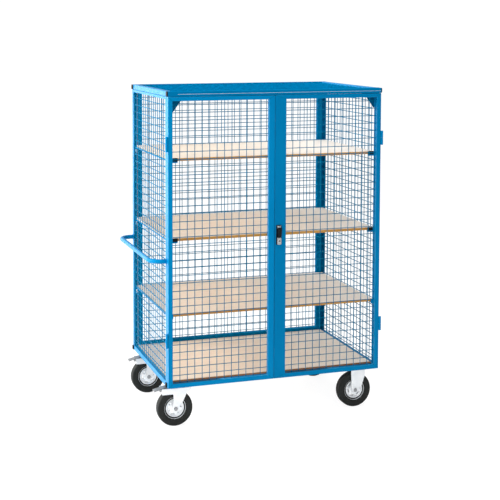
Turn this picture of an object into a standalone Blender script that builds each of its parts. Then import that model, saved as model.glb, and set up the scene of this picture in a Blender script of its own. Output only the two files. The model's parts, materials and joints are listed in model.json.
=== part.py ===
"""Roll cage container: a mesh-sided cabinet trolley with two hinged mesh doors,
a wooden deck, three wooden shelves, a push bow and four casters.
Metres, +Z up, floor at z = 0. The doors face -Y and the push bow is on the -X end.
Solids are laid out in cabinet coordinates; the "assembly" empty centres the whole."""
import math

import bmesh
import bpy
from mathutils import Matrix, Vector

for old in list(bpy.data.objects):
    bpy.data.objects.remove(old, do_unlink=True)

# ---------------------------------------------------------------- shared dimensions
WIDTH = 1.250  # outer width over the end frames (X)
DEPTH = 0.790  # door front to back (Y)
Z_BASE = 0.233  # underside of the base frame
Z_RAIL = 0.260  # top of the base rails
Z_EAVE = 1.817  # underside of the roof frame
Z_TOP = 1.846  # top of the roof frame
GAP = 0.0003  # clearance between neighbouring pieces
SKIN = 0.0005  # offset that keeps joined faces out of one plane
TUBE = 0.025  # width of the frame sections
POST = 0.030  # corner post leg
PLATE = 0.003  # plate and angle thickness
SHEET = 0.0025  # wall of the folded rails
WALL = 0.002  # wall of the door and rear frame sections
BAR = 0.0058  # bar width and thickness of the mesh panels
BOARD = 0.015  # thickness of the deck and the shelves
MESH_INSET = 0.012  # door and rear mesh planes, in from the cabinet's faces
DOOR_T = 0.025  # door leaf thickness

X_END = WIDTH / 2  # outer face of the end frames
Y_DOOR = -DEPTH / 2  # front plane of the door leaves
Y_DOOR_BACK = Y_DOOR + DOOR_T
Y_POST = Y_DOOR_BACK + 0.001  # front plane of the end frames
Y_REAR = DEPTH / 2

# What stands out beyond the cabinet
HINGE_X = 0.633  # hinge axis, just outside the end frames
HINGE_Y = -0.3915
HINGE_R = 0.007
HANDLE_R = 0.0125
HANDLE_OUT = 0.0825  # bow centre line, out from the end frame
LEVER_FRONT = Y_DOOR - 0.0235

# The bow and the hinges make the outline unequal; the origin is the middle of it.
REACH_LEFT = -(X_END + HANDLE_OUT + HANDLE_R)
REACH_RIGHT = HINGE_X + HINGE_R
OFFSET = Vector((-(REACH_LEFT + REACH_RIGHT) / 2, -(LEVER_FRONT + Y_REAR) / 2, 0))

# ---------------------------------------------------------------- collections, materials
parts = bpy.data.collections.new("roll_cage_container")
cutters = bpy.data.collections.new("cutters")
for coll in (parts, cutters):
    bpy.context.scene.collection.children.link(coll)

BLUE = dict(look="blue_powder_coat", color=(0.0, 0.19, 0.48), roughness=0.4, metallic=0.0)
WOOD = dict(look="beech_board", color=(0.80, 0.56, 0.38), roughness=0.5, metallic=0.0)
ZINC = dict(look="zinc_plate", color=(0.75, 0.77, 0.79), roughness=0.3, metallic=1.0)
RUBBER = dict(look="black_rubber", color=(0.02, 0.02, 0.02), roughness=0.8, metallic=0.0)
BLACK = dict(look="black_plastic", color=(0.015, 0.015, 0.02), roughness=0.5, metallic=0.0)
SILVER = dict(look="silver_lock", color=(0.7, 0.7, 0.7), roughness=0.35, metallic=1.0)


def material(piece, look, color, roughness, metallic):
    """Each piece has a material of its own, named after the piece and its look."""
    mat = bpy.data.materials.new(piece + "_" + look)
    mat.use_nodes = True
    inputs = mat.node_tree.nodes["Principled BSDF"].inputs
    inputs["Base Color"].default_value = (*color, 1)
    inputs["Roughness"].default_value = roughness
    inputs["Metallic"].default_value = metallic
    mat.diffuse_color = (*color, 1)
    return mat


# ---------------------------------------------------------------- joints and finished pieces
assembly = bpy.data.objects.new("assembly", None)
assembly.location = OFFSET
parts.objects.link(assembly)


def hang(ob, joint=None):
    """Parent to a joint, or to the assembly, keeping cabinet coordinates."""
    ob.parent = joint or assembly
    if joint:
        ob.matrix_parent_inverse = Matrix.Translation(-joint.location)


def pivot(name, location, joint=None):
    """An empty on a joint axis, placed in cabinet coordinates."""
    empty = bpy.data.objects.new(name, None)
    hang(empty, joint)
    empty.location = location
    empty.empty_display_size = 0.05
    parts.objects.link(empty)
    return empty


def finish(ob, name, look, joint=None, smooth=None):
    """Name a solid, give it its material and hang it; smooth is the sharp-edge angle."""
    ob.name = name
    ob.data.name = name
    ob.hide_render = False
    ob.display_type = "TEXTURED"
    ob.data.materials.clear()
    ob.data.materials.append(material(name, **look))
    cutters.objects.unlink(ob)
    parts.objects.link(ob)
    if smooth:
        ob.data.shade_smooth()
        ob.data.set_sharp_from_angle(angle=math.radians(smooth))
    hang(ob, joint)


# ---------------------------------------------------------------- loose solids
def helper(mesh):
    """A loose solid in the cutters collection."""
    ob = bpy.data.objects.new("helper", mesh)
    ob.hide_render = True
    ob.display_type = "WIRE"
    cutters.objects.link(ob)
    return ob


def helper_from_bmesh(bm):
    mesh = bpy.data.meshes.new("helper")
    bm.to_mesh(mesh)
    bm.free()
    return helper(mesh)


def evaluated_mesh(ob):
    bpy.context.view_layer.update()
    depsgraph = bpy.context.evaluated_depsgraph_get()
    return bpy.data.meshes.new_from_object(ob.evaluated_get(depsgraph), depsgraph=depsgraph)


def weld(mesh, distance, dissolve=False):
    """Merge near vertices, then dissolve flat edges or make the normals agree."""
    bm = bmesh.new()
    bm.from_mesh(mesh)
    bmesh.ops.remove_doubles(bm, verts=bm.verts, dist=distance)
    if dissolve:
        bmesh.ops.dissolve_limit(
            bm, angle_limit=math.radians(0.5), verts=bm.verts, edges=bm.edges)
    else:
        bmesh.ops.recalc_face_normals(bm, faces=bm.faces)
    bm.to_mesh(mesh)
    bm.free()


def box(x0, x1, y0, y1, z0, z1):
    """A block; the two ends of each span may come in either order."""
    first, second = Vector((x0, y0, z0)), Vector((x1, y1, z1))
    size = [abs(length) for length in second - first]
    place = Matrix.Translation((first + second) / 2) @ Matrix.Diagonal((*size, 1))
    bm = bmesh.new()
    bmesh.ops.create_cube(bm, size=1, matrix=place)
    return helper_from_bmesh(bm)


Z_TO_Y = Matrix.Rotation(-math.pi / 2, 4, "X")


def rod(center, radius, length, axis, sides=16):
    """A cylinder along Y or Z, centred on a point."""
    place = Matrix.Translation(center)
    if axis == "Y":
        place = place @ Z_TO_Y
    bm = bmesh.new()
    bmesh.ops.create_cone(bm, cap_ends=True, segments=sides, radius1=radius, radius2=radius,
                          depth=length, matrix=place)
    return helper_from_bmesh(bm)


def curve_solid(curve, matrix):
    """A curve made into a welded solid."""
    ob = bpy.data.objects.new("curve", curve)
    cutters.objects.link(ob)
    mesh = evaluated_mesh(ob)
    bpy.data.objects.remove(ob, do_unlink=True)
    mesh.transform(matrix)
    weld(mesh, 1e-5)
    return helper(mesh)


def at_x(x):
    """Lays an outline drawn as (y, z) on the plane at x."""
    axes = Matrix(((0, 0, 1, 0), (1, 0, 0, 0), (0, 1, 0, 0), (0, 0, 0, 1)))
    return Matrix.Translation((x, 0, 0)) @ axes


def at_y(y):
    """Lays an outline drawn as (x, z) on the plane at y."""
    return Matrix.Translation((0, y, 0)) @ Matrix.Rotation(math.pi / 2, 4, "X")


def at_z(z):
    """Lays an outline drawn as (x, y) on the plane at z."""
    return Matrix.Translation((0, 0, z))


def outline(loops, thickness, matrix):
    """A plate, centred on its plane, from closed loops; loops after the first are holes."""
    curve = bpy.data.curves.new("outline", "CURVE")
    curve.dimensions = "2D"
    curve.fill_mode = "BOTH"
    curve.extrude = thickness / 2
    for points in loops:
        spline = curve.splines.new("POLY")
        spline.points.add(len(points) - 1)
        for point, (across, up) in zip(spline.points, points):
            point.co = (across, up, 0, 1)
        spline.use_cyclic_u = True
    return curve_solid(curve, matrix)


def join(solids, cuts=()):
    """Boolean union of solids, less the cuts, as one solid."""
    base = solids[0]
    steps = [(ob, "UNION") for ob in solids[1:]] + [(ob, "DIFFERENCE") for ob in cuts]
    for other, operation in steps:
        boolean = base.modifiers.new(operation.lower(), "BOOLEAN")
        boolean.operation = operation
        boolean.solver = "EXACT"
        boolean.object = other
    mesh = evaluated_mesh(base)
    for ob in [*solids, *cuts]:
        bpy.data.objects.remove(ob, do_unlink=True)
    weld(mesh, 1e-6, dissolve=True)
    return helper(mesh)


# A span is (low, high) across and (low, high) up: four numbers.
def grow(span, margin):
    a0, a1, b0, b1 = span
    return a0 - margin, a1 + margin, b0 - margin, b1 + margin


def rect(a0, a1, b0, b1):
    return [(a0, b0), (a1, b0), (a1, b1), (a0, b1)]


def grid_panel(span, cells, matrix):
    """A mesh panel as one plate with rectangular openings; cells counts them each way."""
    a0, a1, b0, b1 = span
    across, up = cells
    pitch_a = (a1 - a0 - BAR) / across
    pitch_b = (b1 - b0 - BAR) / up
    loops = [rect(*span)]
    for i in range(across):
        for j in range(up):
            a, b = a0 + BAR + i * pitch_a, b0 + BAR + j * pitch_b
            loops.append(rect(a, a + pitch_a - BAR, b, b + pitch_b - BAR))
    return outline(loops, BAR, matrix)


def channel_ring(outer, inner, y0, y1):
    """Parts of a frame of channel section, open to +Y: front plate, outer web, inner web."""
    web_start = y0 + WALL / 2  # the webs start inside the front plate
    web_depth, web_plane = y1 - web_start, at_y((web_start + y1) / 2)
    return [
        outline([rect(*outer), rect(*inner)], WALL, at_y((y0 + y0 + WALL) / 2)),
        outline([rect(*outer), rect(*grow(outer, -WALL))], web_depth, web_plane),
        outline([rect(*grow(inner, WALL)), rect(*inner)], web_depth, web_plane)]


# ---------------------------------------------------------------- base frame and deck
LIP_LOW = Z_BASE + 0.010
LIP_HIGH = Z_BASE + 0.013
LIP_REACH = 0.018  # the lip under the deck, in from the rail
RAIL_SECTION = (  # inset of two faces from the outer plane, z low, z high
    (0, PLATE, Z_BASE, Z_RAIL),  # outer web
    (0, TUBE, Z_RAIL - SHEET, Z_RAIL),  # top
    (TUBE, TUBE - SHEET, LIP_LOW, Z_RAIL),  # inner web
    (TUBE - SHEET, TUBE + LIP_REACH, LIP_LOW, LIP_HIGH))  # lip
CHANNEL_HALF = 0.060  # half width of the cross channels
PAD_HALF = (0.058, 0.048)  # half size of the caster pads, X and Y
PAD_T = 0.011
CENTER_BAR_HALF = 0.020
DECK_TOP = 0.2615
CASTER_X = 0.510
# Front (-1) and rear (1); the rear pair stands further in than the front pair.
CASTER_Y = {-1: -0.3055, 1: 0.2720}


def base_frame():
    solids = []
    for side in (-1, 1):
        for inset0, inset1, z0, z1 in RAIL_SECTION:
            solids.append(box(side * (X_END - inset0), side * (X_END - inset1),
                              Y_POST, Y_REAR, z0, z1))
    for outer, inward in ((Y_POST, 1), (Y_REAR, -1)):
        for inset0, inset1, z0, z1 in RAIL_SECTION:
            solids.append(box(-X_END, X_END, outer + inward * inset0, outer + inward * inset1,
                              z0, z1))
    # two cross channels carry the deck and the casters, a flat bar runs between them
    cross = (Y_POST + 0.001, Y_REAR - 0.001)
    for side in (-1, 1):
        x = side * CASTER_X
        solids.append(box(x - CHANNEL_HALF, x + CHANNEL_HALF, *cross, LIP_LOW, LIP_HIGH))
        for edge in (-CHANNEL_HALF, CHANNEL_HALF - PLATE):
            solids.append(box(x + edge, x + edge + PLATE, *cross, Z_BASE, Z_BASE + 0.012))
        for y in CASTER_Y.values():
            solids.append(box(x - PAD_HALF[0], x + PAD_HALF[0], y - PAD_HALF[1], y + PAD_HALF[1],
                              Z_BASE, Z_BASE + PAD_T))
    solids.append(box(-CENTER_BAR_HALF, CENTER_BAR_HALF, *cross, LIP_LOW, LIP_HIGH))
    return join(solids)


finish(base_frame(), "base_frame", BLUE)
finish(box(-X_END + TUBE + GAP, X_END - TUBE - GAP, Y_POST + TUBE + GAP, Y_REAR - TUBE - GAP,
           DECK_TOP - BOARD, DECK_TOP), "deck_board", WOOD)

# ---------------------------------------------------------------- end frames
SIDE_CELLS = (4, 9)
FRAME_LOW = Z_RAIL + GAP
FRAME_HIGH = Z_EAVE - GAP
END_ANGLES = (  # reach inward from the end face, y low, y high, z low
    (PLATE, Y_POST, Y_POST + POST, FRAME_LOW), (POST, Y_POST, Y_POST + PLATE, FRAME_LOW),
    (PLATE, Y_REAR - POST, Y_REAR, FRAME_LOW), (POST, Y_REAR - PLATE, Y_REAR, FRAME_LOW),
    (PLATE, Y_POST, Y_REAR, FRAME_HIGH - TUBE), (TUBE, Y_POST, Y_REAR, FRAME_HIGH - PLATE))

for side, name in ((-1, "left"), (1, "right")):
    frame = join([box(side * X_END, side * (X_END - reach), y0, y1, low, FRAME_HIGH)
                  for reach, y0, y1, low in END_ANGLES])
    finish(frame, name + "_end_frame", BLUE)
    span = (Y_POST + PLATE + GAP, Y_REAR - PLATE - GAP, FRAME_LOW, FRAME_HIGH - PLATE - GAP)
    panel = grid_panel(span, SIDE_CELLS, at_x(side * (X_END - PLATE - GAP - BAR / 2)))
    finish(panel, "mesh_" + name, BLUE)

# ---------------------------------------------------------------- rear frame
REAR_LOW = 0.018  # height of the rear frame's bottom member
REAR_CELLS = (7, 9)
REAR_X = X_END - POST - GAP
rear_inner = (-REAR_X + TUBE, REAR_X - TUBE, FRAME_LOW + REAR_LOW, FRAME_HIGH - TUBE)
rear_ring = channel_ring((-REAR_X, REAR_X, FRAME_LOW, FRAME_HIGH), rear_inner,
                         Y_REAR - TUBE, Y_REAR - SKIN)
finish(join(rear_ring), "rear_frame", BLUE)
finish(grid_panel(grow(rear_inner, -GAP), REAR_CELLS, at_y(Y_REAR - MESH_INSET)),
       "mesh_rear", BLUE)

# ---------------------------------------------------------------- roof
ROOF_CELLS = (7, 4)
ROOF_MESH_TOP = Z_TOP - 0.0045
GUSSET_DROP = 0.090
GUSSET_X = 0.528  # inner tip of the gussets
GUSSET_LAP = 0.010  # part of the gusset inside the roof channel


def channel_walls(start, end):
    """Top, first web and second web of a roof channel: (start, end, z low)."""
    return ((start, end, Z_TOP - SHEET), (start, start + SHEET, Z_EAVE),
            (end - SHEET, end, Z_EAVE))


def roof_frame():
    solids = []
    for start, end in ((Y_DOOR, Y_DOOR + POST), (Y_REAR - POST, Y_REAR)):
        for y0, y1, low in channel_walls(start, end):
            solids.append(box(-X_END, X_END, y0, y1, low, Z_TOP))
    for start, end in ((-X_END, -X_END + POST), (X_END - POST, X_END)):
        for x0, x1, low in channel_walls(start, end):
            solids.append(box(x0, x1, Y_DOOR + 0.001, Y_REAR - 0.001, low, Z_TOP))
    # corner gussets behind the doors' top corners
    for side in (-1, 1):
        outer, tip = side * (X_END - POST - GAP), side * GUSSET_X
        gusset = [(outer, Z_EAVE - GUSSET_DROP), (tip, Z_EAVE), (tip, Z_EAVE + GUSSET_LAP),
                  (outer, Z_EAVE + GUSSET_LAP)]
        solids.append(outline([gusset], PLATE, at_y(Y_DOOR + POST - 0.001)))
    return join(solids)


finish(roof_frame(), "roof_frame", BLUE)
roof_span = (-X_END + POST + GAP, X_END - POST - GAP,
             Y_DOOR + POST + GAP + 0.0007, Y_REAR - POST - GAP)
finish(grid_panel(roof_span, ROOF_CELLS, at_z(ROOF_MESH_TOP - BAR / 2)), "mesh_roof", BLUE)

# ---------------------------------------------------------------- tube end caps
CAP_OUT = 0.007  # outer face of a cap, out from the end frame
CAP_INSET = 0.0005  # the caps are this much smaller than the tubes
ROOF_CAP_Z = (Z_EAVE + 0.001, Z_TOP - CAP_INSET)
BASE_CAP_Z = (Z_BASE + CAP_INSET, Z_RAIL - CAP_INSET)

for name, side, y, width, heights in (
        ("roof_front_left", -1, Y_DOOR, POST, ROOF_CAP_Z),
        ("roof_rear_left", -1, Y_REAR - POST, POST, ROOF_CAP_Z),
        ("roof_front_right", 1, Y_DOOR, POST, ROOF_CAP_Z),
        ("base_front_left", -1, Y_POST, TUBE, BASE_CAP_Z),
        ("base_rear_left", -1, Y_REAR - TUBE, TUBE, BASE_CAP_Z)):
    cap = box(side * (X_END + GAP), side * (X_END + CAP_OUT),
              y + CAP_INSET, y + width - CAP_INSET, *heights)
    bevel = cap.modifiers.new("round", "BEVEL")
    bevel.width = 0.003
    bevel.segments = 1
    bevel.limit_method = "ANGLE"
    finish(cap, "cap_" + name, BLACK)

# ---------------------------------------------------------------- shelves
SHELF_TOPS = (1.4825, 1.0465, 0.6315)
SHELF_HALF = 0.608  # half length of a shelf board
SHELF_FRONT = Y_POST + 0.017  # front edge of the boards
SUPPORT_FRONT = Y_POST + PLATE + 0.0005
SUPPORT_BACK = Y_REAR - TUBE - 0.0010
LEDGE = 0.020  # end rail's ledge under the board
BACK_LEDGE = 0.022  # depth of the back rail's foot
WEB_X = SHELF_HALF + GAP  # inner face of the end rail's web
BRACKET_X = 0.5635  # inner end of the plates that carry the shelf rails
BRACKET_OUT = X_END - PLATE - BAR - 3 * GAP
BRACKET_STEP_X = X_END - POST + 0.003
BRACKET_STEP = 0.0235  # height of the bracket's inner part
BRACKET_LOW = 0.045  # height of the bracket at the post


def shelf_support(top):
    low = top - BOARD - GAP  # top of the ledges
    # L-section end rail, (x, z): web beside the board, ledge under it
    end_rail = [(WEB_X, top), (WEB_X + PLATE, top), (WEB_X + PLATE, low - PLATE),
                (WEB_X - LEDGE, low - PLATE), (WEB_X - LEDGE, low), (WEB_X, low)]
    # stepped plate at a post, (x, z), reaching in across the board's corner
    bracket = [(BRACKET_X, top - SKIN), (BRACKET_OUT, top - SKIN),
               (BRACKET_OUT, top - BRACKET_LOW), (BRACKET_STEP_X, top - BRACKET_LOW),
               (BRACKET_STEP_X, top - BRACKET_STEP), (BRACKET_X, top - BRACKET_STEP)]
    # L-section back rail, (y, z)
    back = SUPPORT_BACK - SKIN / 2
    back_rail = [(back - PLATE, top - SKIN), (back, top - SKIN), (back, low - PLATE + SKIN),
                 (back - BACK_LEDGE, low - PLATE + SKIN), (back - BACK_LEDGE, low - SKIN),
                 (back - PLATE, low - SKIN)]
    solids = []
    for side in (-1, 1):
        solids.append(outline([[(side * x, z) for x, z in end_rail]],
                              SUPPORT_BACK - SUPPORT_FRONT,
                              at_y((SUPPORT_FRONT + SUPPORT_BACK) / 2)))
        for y in (SUPPORT_FRONT + SKIN + PLATE / 2, SUPPORT_BACK - SKIN - PLATE / 2):
            solids.append(outline([[(side * x, z) for x, z in bracket]], PLATE, at_y(y)))
    solids.append(outline([back_rail], 2 * (WEB_X + PLATE / 2), at_x(0)))
    return join(solids)


for n, top in enumerate(SHELF_TOPS, 1):
    finish(shelf_support(top), "shelf_support_%d" % n, BLUE)
    finish(box(-SHELF_HALF, SHELF_HALF, SHELF_FRONT, SUPPORT_BACK - PLATE - 3 * GAP,
               top - BOARD, top), "shelf_board_%d" % n, WOOD)

# ---------------------------------------------------------------- push bow
HANDLE_Z = 0.926
HANDLE_BEND = 0.065  # bend radius of the centre line
BEND_STEPS = 6


def bow_points():
    """Centre line (x, y): from the front post out, along and back to the rear post."""
    inner, bend_x = -X_END - GAP, -X_END - HANDLE_OUT + HANDLE_BEND
    front, rear = Y_POST + POST / 2, Y_REAR - POST / 2
    angles = [math.pi / 2 * k / BEND_STEPS for k in range(BEND_STEPS + 1)]
    front_bend = [(bend_x - HANDLE_BEND * math.sin(a),
                   front + HANDLE_BEND - HANDLE_BEND * math.cos(a)) for a in angles]
    rear_bend = [(bend_x - HANDLE_BEND * math.cos(a),
                  rear - HANDLE_BEND + HANDLE_BEND * math.sin(a)) for a in angles]
    return [(inner, front), *front_bend, *rear_bend, (inner, rear)]


def push_bow():
    curve = bpy.data.curves.new("bow", "CURVE")
    curve.dimensions = "3D"
    curve.bevel_depth = HANDLE_R
    curve.bevel_resolution = 2
    curve.use_fill_caps = True
    points = bow_points()
    spline = curve.splines.new("POLY")
    spline.points.add(len(points) - 1)
    for point, (x, y) in zip(spline.points, points):
        point.co = (x, y, HANDLE_Z, 1)
    return curve_solid(curve, Matrix.Identity(4))


finish(push_bow(), "push_handle", BLUE, smooth=40)

# ---------------------------------------------------------------- doors
DOOR_LOW = 0.2345
DOOR_HIGH = 1.8155
DOOR_HEAD = 0.022  # height of a leaf's top member
DOOR_CELLS = (3, 9)
SEAM_L = -0.016  # free edge of the left leaf
SEAM_R = -0.014  # free edge of the right leaf
STRIP_L = -0.050  # inner edge of the left meeting stile
STRIP_R = 0.0515  # inner edge of the right meeting stile
LOCK_X = 0.009
LOCK_Z = 1.0427
SPIN_Z = LOCK_Z + 0.040  # the lever's turning axis
KEY_Z = LOCK_Z - 0.033
SPIN_HOLE_R = 0.0050
KEY_HOLE_R = 0.0066
ROD_Y = Y_DOOR + 0.0145  # the locking rods run inside the meeting stile
ROD_HALF = (0.006, 0.0020)  # half section of the locking rods, X and Y
ROD_PLAY = 0.0006


def rod_slot(z):
    half_x, half_y = (half + ROD_PLAY for half in ROD_HALF)
    return box(LOCK_X - half_x, LOCK_X + half_x, ROD_Y - half_y, ROD_Y + half_y,
               z - 0.004, z + 0.004)


def door(name, outer_x, inner_x, joint, cuts=()):
    """Frame and mesh of one leaf from its outer and inner x spans."""
    inner = (*inner_x, DOOR_LOW + TUBE, DOOR_HIGH - DOOR_HEAD)
    frame = channel_ring((*outer_x, DOOR_LOW, DOOR_HIGH), inner, Y_DOOR, Y_DOOR_BACK)
    finish(join(frame, cuts), "door_%s_frame" % name, BLUE, joint)
    panel = grid_panel(grow(inner, -GAP), DOOR_CELLS, at_y(Y_DOOR + MESH_INSET))
    finish(panel, "door_%s_mesh" % name, BLUE, joint)


left_axis = pivot("left_door_axis", (-HINGE_X, HINGE_Y, 0))
right_axis = pivot("right_door_axis", (HINGE_X, HINGE_Y, 0))
door("left", (-X_END, SEAM_L), (-X_END + TUBE, STRIP_L), left_axis)
door("right", (SEAM_R, X_END), (STRIP_R, X_END - TUBE), right_axis,
     cuts=[rod((LOCK_X, Y_DOOR, SPIN_Z), SPIN_HOLE_R, 0.02, "Y", 12),
           rod((LOCK_X, Y_DOOR, KEY_Z), KEY_HOLE_R, 0.02, "Y", 12),
           rod_slot(DOOR_LOW), rod_slot(DOOR_HIGH)])

# ---------------------------------------------------------------- weld-on barrel hinges
HINGE_Z = {"upper": 1.563, "lower": 0.4965}  # where the two barrel halves meet
BARREL = 0.040  # length of one barrel half
PIN_R = 0.0040
PIN_PLAY = 0.00025
PIN_RISE = 0.012  # centre of the pin and its bore above the meeting plane
LEAF_OUT = 0.003  # outer face of the leaves, out from the end frame


def hinge(name, side, z, joint):
    x = side * HINGE_X
    leaf_x = (side * (X_END + GAP), side * (X_END + LEAF_OUT))
    frame_leaf = join([
        rod((x, HINGE_Y, z - BARREL / 2 - GAP), HINGE_R, BARREL, "Z"),
        rod((x, HINGE_Y, z + PIN_RISE), PIN_R, 0.030, "Z"),
        box(*leaf_x, HINGE_Y, Y_POST + 0.024, z - BARREL - GAP, z - GAP)])
    finish(frame_leaf, name + "_frame_leaf", BLUE)
    door_leaf = join([
        rod((x, HINGE_Y, z + BARREL / 2 + GAP), HINGE_R, BARREL, "Z"),
        box(*leaf_x, HINGE_Y, Y_DOOR_BACK - 0.002, z + GAP, z + BARREL + GAP)],
        cuts=[rod((x, HINGE_Y, z + PIN_RISE), PIN_R + PIN_PLAY, 0.034, "Z")])
    finish(door_leaf, name + "_door_leaf", BLUE, joint)


for side, side_name, joint in ((-1, "left", left_axis), (1, "right", right_axis)):
    for level, z in HINGE_Z.items():
        hinge("hinge_%s_%s" % (side_name, level), side, z, joint)

# ---------------------------------------------------------------- swing-handle lock
LOCK_LOW, LOCK_HIGH = LOCK_Z - 0.110 / 2, LOCK_Z + 0.110 / 2
LOCK_HALF = 0.031 / 2  # half width of the escutcheon
HOUSE_INSET = 0.002  # key housing, in from the escutcheon's edge
HOUSE_TOP = KEY_Z + 0.019
Y_PLATE = Y_DOOR - 0.0045  # front of the escutcheon
Y_HOUSE = Y_DOOR - 0.0135  # front of the key housing
SPINDLE_DISCS = (  # centre y from the door front, radius, length, sides
    (-0.0066, 0.0100, 0.0038, 16),
    (0.0015, 0.0045, 0.0185, 12),
    (0.0095, 0.0130, 0.0030, 16))
SQUARE_HALF = 0.0035  # square end of the spindle
LEVER_HALF = 0.0125
LEVER_SLOT_HALF = 0.0040
LEVER_LOW = HOUSE_TOP + 0.0030
KEY_SLOT_HALF = (0.0006, 0.0040)  # X and Z
ROD_START = 0.020  # near ends of the locking rods, from the turning axis


def across_lock(half, y0, y1, z0, z1):
    """A block centred on the lock in X."""
    return box(LOCK_X - half, LOCK_X + half, y0, y1, z0, z1)


lock_plate = join([
    across_lock(LOCK_HALF, Y_PLATE, Y_DOOR - GAP, LOCK_LOW, LOCK_HIGH),
    across_lock(LOCK_HALF - HOUSE_INSET, Y_HOUSE, Y_PLATE + 0.001,
                LOCK_LOW + HOUSE_INSET, HOUSE_TOP)],
    cuts=[rod((LOCK_X, Y_DOOR, SPIN_Z), SPIN_HOLE_R, 0.03, "Y", 12),
          rod((LOCK_X, Y_DOOR - 0.010, KEY_Z), KEY_HOLE_R, 0.04, "Y", 12)])
finish(lock_plate, "lock_plate", SILVER, right_axis)

turn_axis = pivot("lock_turn_axis", (LOCK_X, Y_DOOR, SPIN_Z), right_axis)
spindle = [rod((LOCK_X, Y_DOOR + y, SPIN_Z), radius, length, "Y", sides)
           for y, radius, length, sides in SPINDLE_DISCS]
spindle.append(across_lock(SQUARE_HALF, Y_DOOR - 0.0165, Y_DOOR - 0.0080,
                           SPIN_Z - SQUARE_HALF, SPIN_Z + SQUARE_HALF))
finish(join(spindle), "lock_spindle", SILVER, turn_axis)

lift_axis = pivot("lock_lift_axis", (LOCK_X, Y_DOOR - 0.0145, SPIN_Z), turn_axis)
lever = join(
    [across_lock(LEVER_HALF, LEVER_FRONT, Y_DOOR - 0.0110, LEVER_LOW, SPIN_Z + 0.0040)],
    cuts=[across_lock(LEVER_SLOT_HALF, Y_DOOR - 0.0190, Y_DOOR,
                      SPIN_Z - 0.0095, SPIN_Z + 0.0150)])
finish(lever, "lock_lever", BLACK, lift_axis)

key_axis = pivot("key_axis", (LOCK_X, Y_DOOR, KEY_Z), right_axis)
plug = join([rod((LOCK_X, Y_DOOR - 0.0075, KEY_Z), 0.0062, 0.0140, "Y", 12)],
            cuts=[across_lock(KEY_SLOT_HALF[0], Y_DOOR - 0.02, Y_DOOR - 0.0105,
                              KEY_Z - KEY_SLOT_HALF[1], KEY_Z + KEY_SLOT_HALF[1])])
finish(plug, "key_plug", SILVER, key_axis)

for name, z0, z1 in (("rod_upper", SPIN_Z + ROD_START, DOOR_HIGH),
                     ("rod_lower", DOOR_LOW, SPIN_Z - ROD_START)):
    guide = pivot(name + "_guide", (LOCK_X, ROD_Y, SPIN_Z), right_axis)
    bar = across_lock(ROD_HALF[0], ROD_Y - ROD_HALF[1], ROD_Y + ROD_HALF[1], z0, z1)
    finish(bar, name, ZINC, guide)

# ---------------------------------------------------------------- wheels
WHEEL_R = 0.100
WHEEL_SIDES = 24
TYRE_HALF = 0.022
TYRE_IN = 0.0620  # inner radius of the tyre
AXLE_R = 0.006
AXLE_HOLE_R = AXLE_R + 0.0003
HEAD_Y = 0.0365  # centre of the axle's hexagon heads
ROUND = 1 / math.cos(math.pi / WHEEL_SIDES)  # puts the flats on the true radius
TREAD_R = WHEEL_R * ROUND
RIM_R = TYRE_IN - GAP
# Closed profiles of (radius, offset along the axle)
TYRE_PROFILE = (
    (TYRE_IN * ROUND, TYRE_HALF * 0.86), (TREAD_R * 0.80, TYRE_HALF),
    (TREAD_R * 0.94, TYRE_HALF * 0.86), (TREAD_R, TYRE_HALF * 0.42),
    (TREAD_R, -TYRE_HALF * 0.42), (TREAD_R * 0.94, -TYRE_HALF * 0.86),
    (TREAD_R * 0.80, -TYRE_HALF), (TYRE_IN * ROUND, -TYRE_HALF * 0.86))
RIM_HALF_PROFILE = (
    (AXLE_HOLE_R * ROUND, 0.0240), (0.0160, 0.0240), (0.0200, 0.0080),
    (0.0490, 0.0060), (0.0520, 0.0180), (RIM_R, 0.0180))
RIM_PROFILE = (*RIM_HALF_PROFILE, *((r, -y) for r, y in reversed(RIM_HALF_PROFILE)))


def turned(profile, center):
    """A closed profile swept about the axle by a Screw modifier, a flat facing the floor."""
    bm = bmesh.new()
    verts = [bm.verts.new((radius, 0, height)) for radius, height in profile]
    for start, end in zip(verts, verts[1:] + verts[:1]):
        bm.edges.new((start, end))
    ob = helper_from_bmesh(bm)
    screw = ob.modifiers.new("turn", "SCREW")
    screw.axis = "Z"
    screw.steps = screw.render_steps = WHEEL_SIDES
    screw.use_merge_vertices = True
    screw.merge_threshold = 0.00001
    mesh = evaluated_mesh(ob)
    bpy.data.objects.remove(ob, do_unlink=True)
    phase = Matrix.Rotation(math.pi / WHEEL_SIDES + math.pi / 2, 4, "Z")
    mesh.transform(Matrix.Translation(center) @ Z_TO_Y @ phase)
    weld(mesh, 1e-6)
    return helper(mesh)


def axle(center):
    x, y, z = center
    return join([rod(center, AXLE_R - 0.0001, 0.0760, "Y", 12),
                 rod((x, y - HEAD_Y, z), 0.0095, 0.0060, "Y", 6),
                 rod((x, y + HEAD_Y, z), 0.0095, 0.0060, "Y", 6)])


# ---------------------------------------------------------------- casters
TRAIL = 0.057  # swivel offset
TOP_HALF = (0.0600, 0.0460)  # half size of the top plate, X and Y
TOP_T = 0.0045
Z_MOUNT = Z_BASE - GAP  # top of the caster plates
CROWN_TOP = Z_MOUNT - 0.0133
CROWN_T = 0.0060
LEG = 0.0040  # thickness of a fork leg
LEG_Y = 0.0275  # inner face of a fork leg from the wheel's centre plane
LEG_LAP = 0.0020  # the legs run this far up into the plate above
LEG_EYE_R = 0.020  # rounding about the axle
PEDAL_X = -0.0955  # pedal axis from the swivel axis
PEDAL_Z = CROWN_TOP - 0.0030
PEDAL_WIDTH = 0.0420
PEDAL_PROFILE = (  # (x, z) from the pedal axis
    (-0.0800, -0.0170), (-0.0790, -0.0115), (-0.0100, 0.0050),
    (0.0050, 0.0025), (0.0050, -0.0035), (-0.0100, -0.0030))
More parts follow.
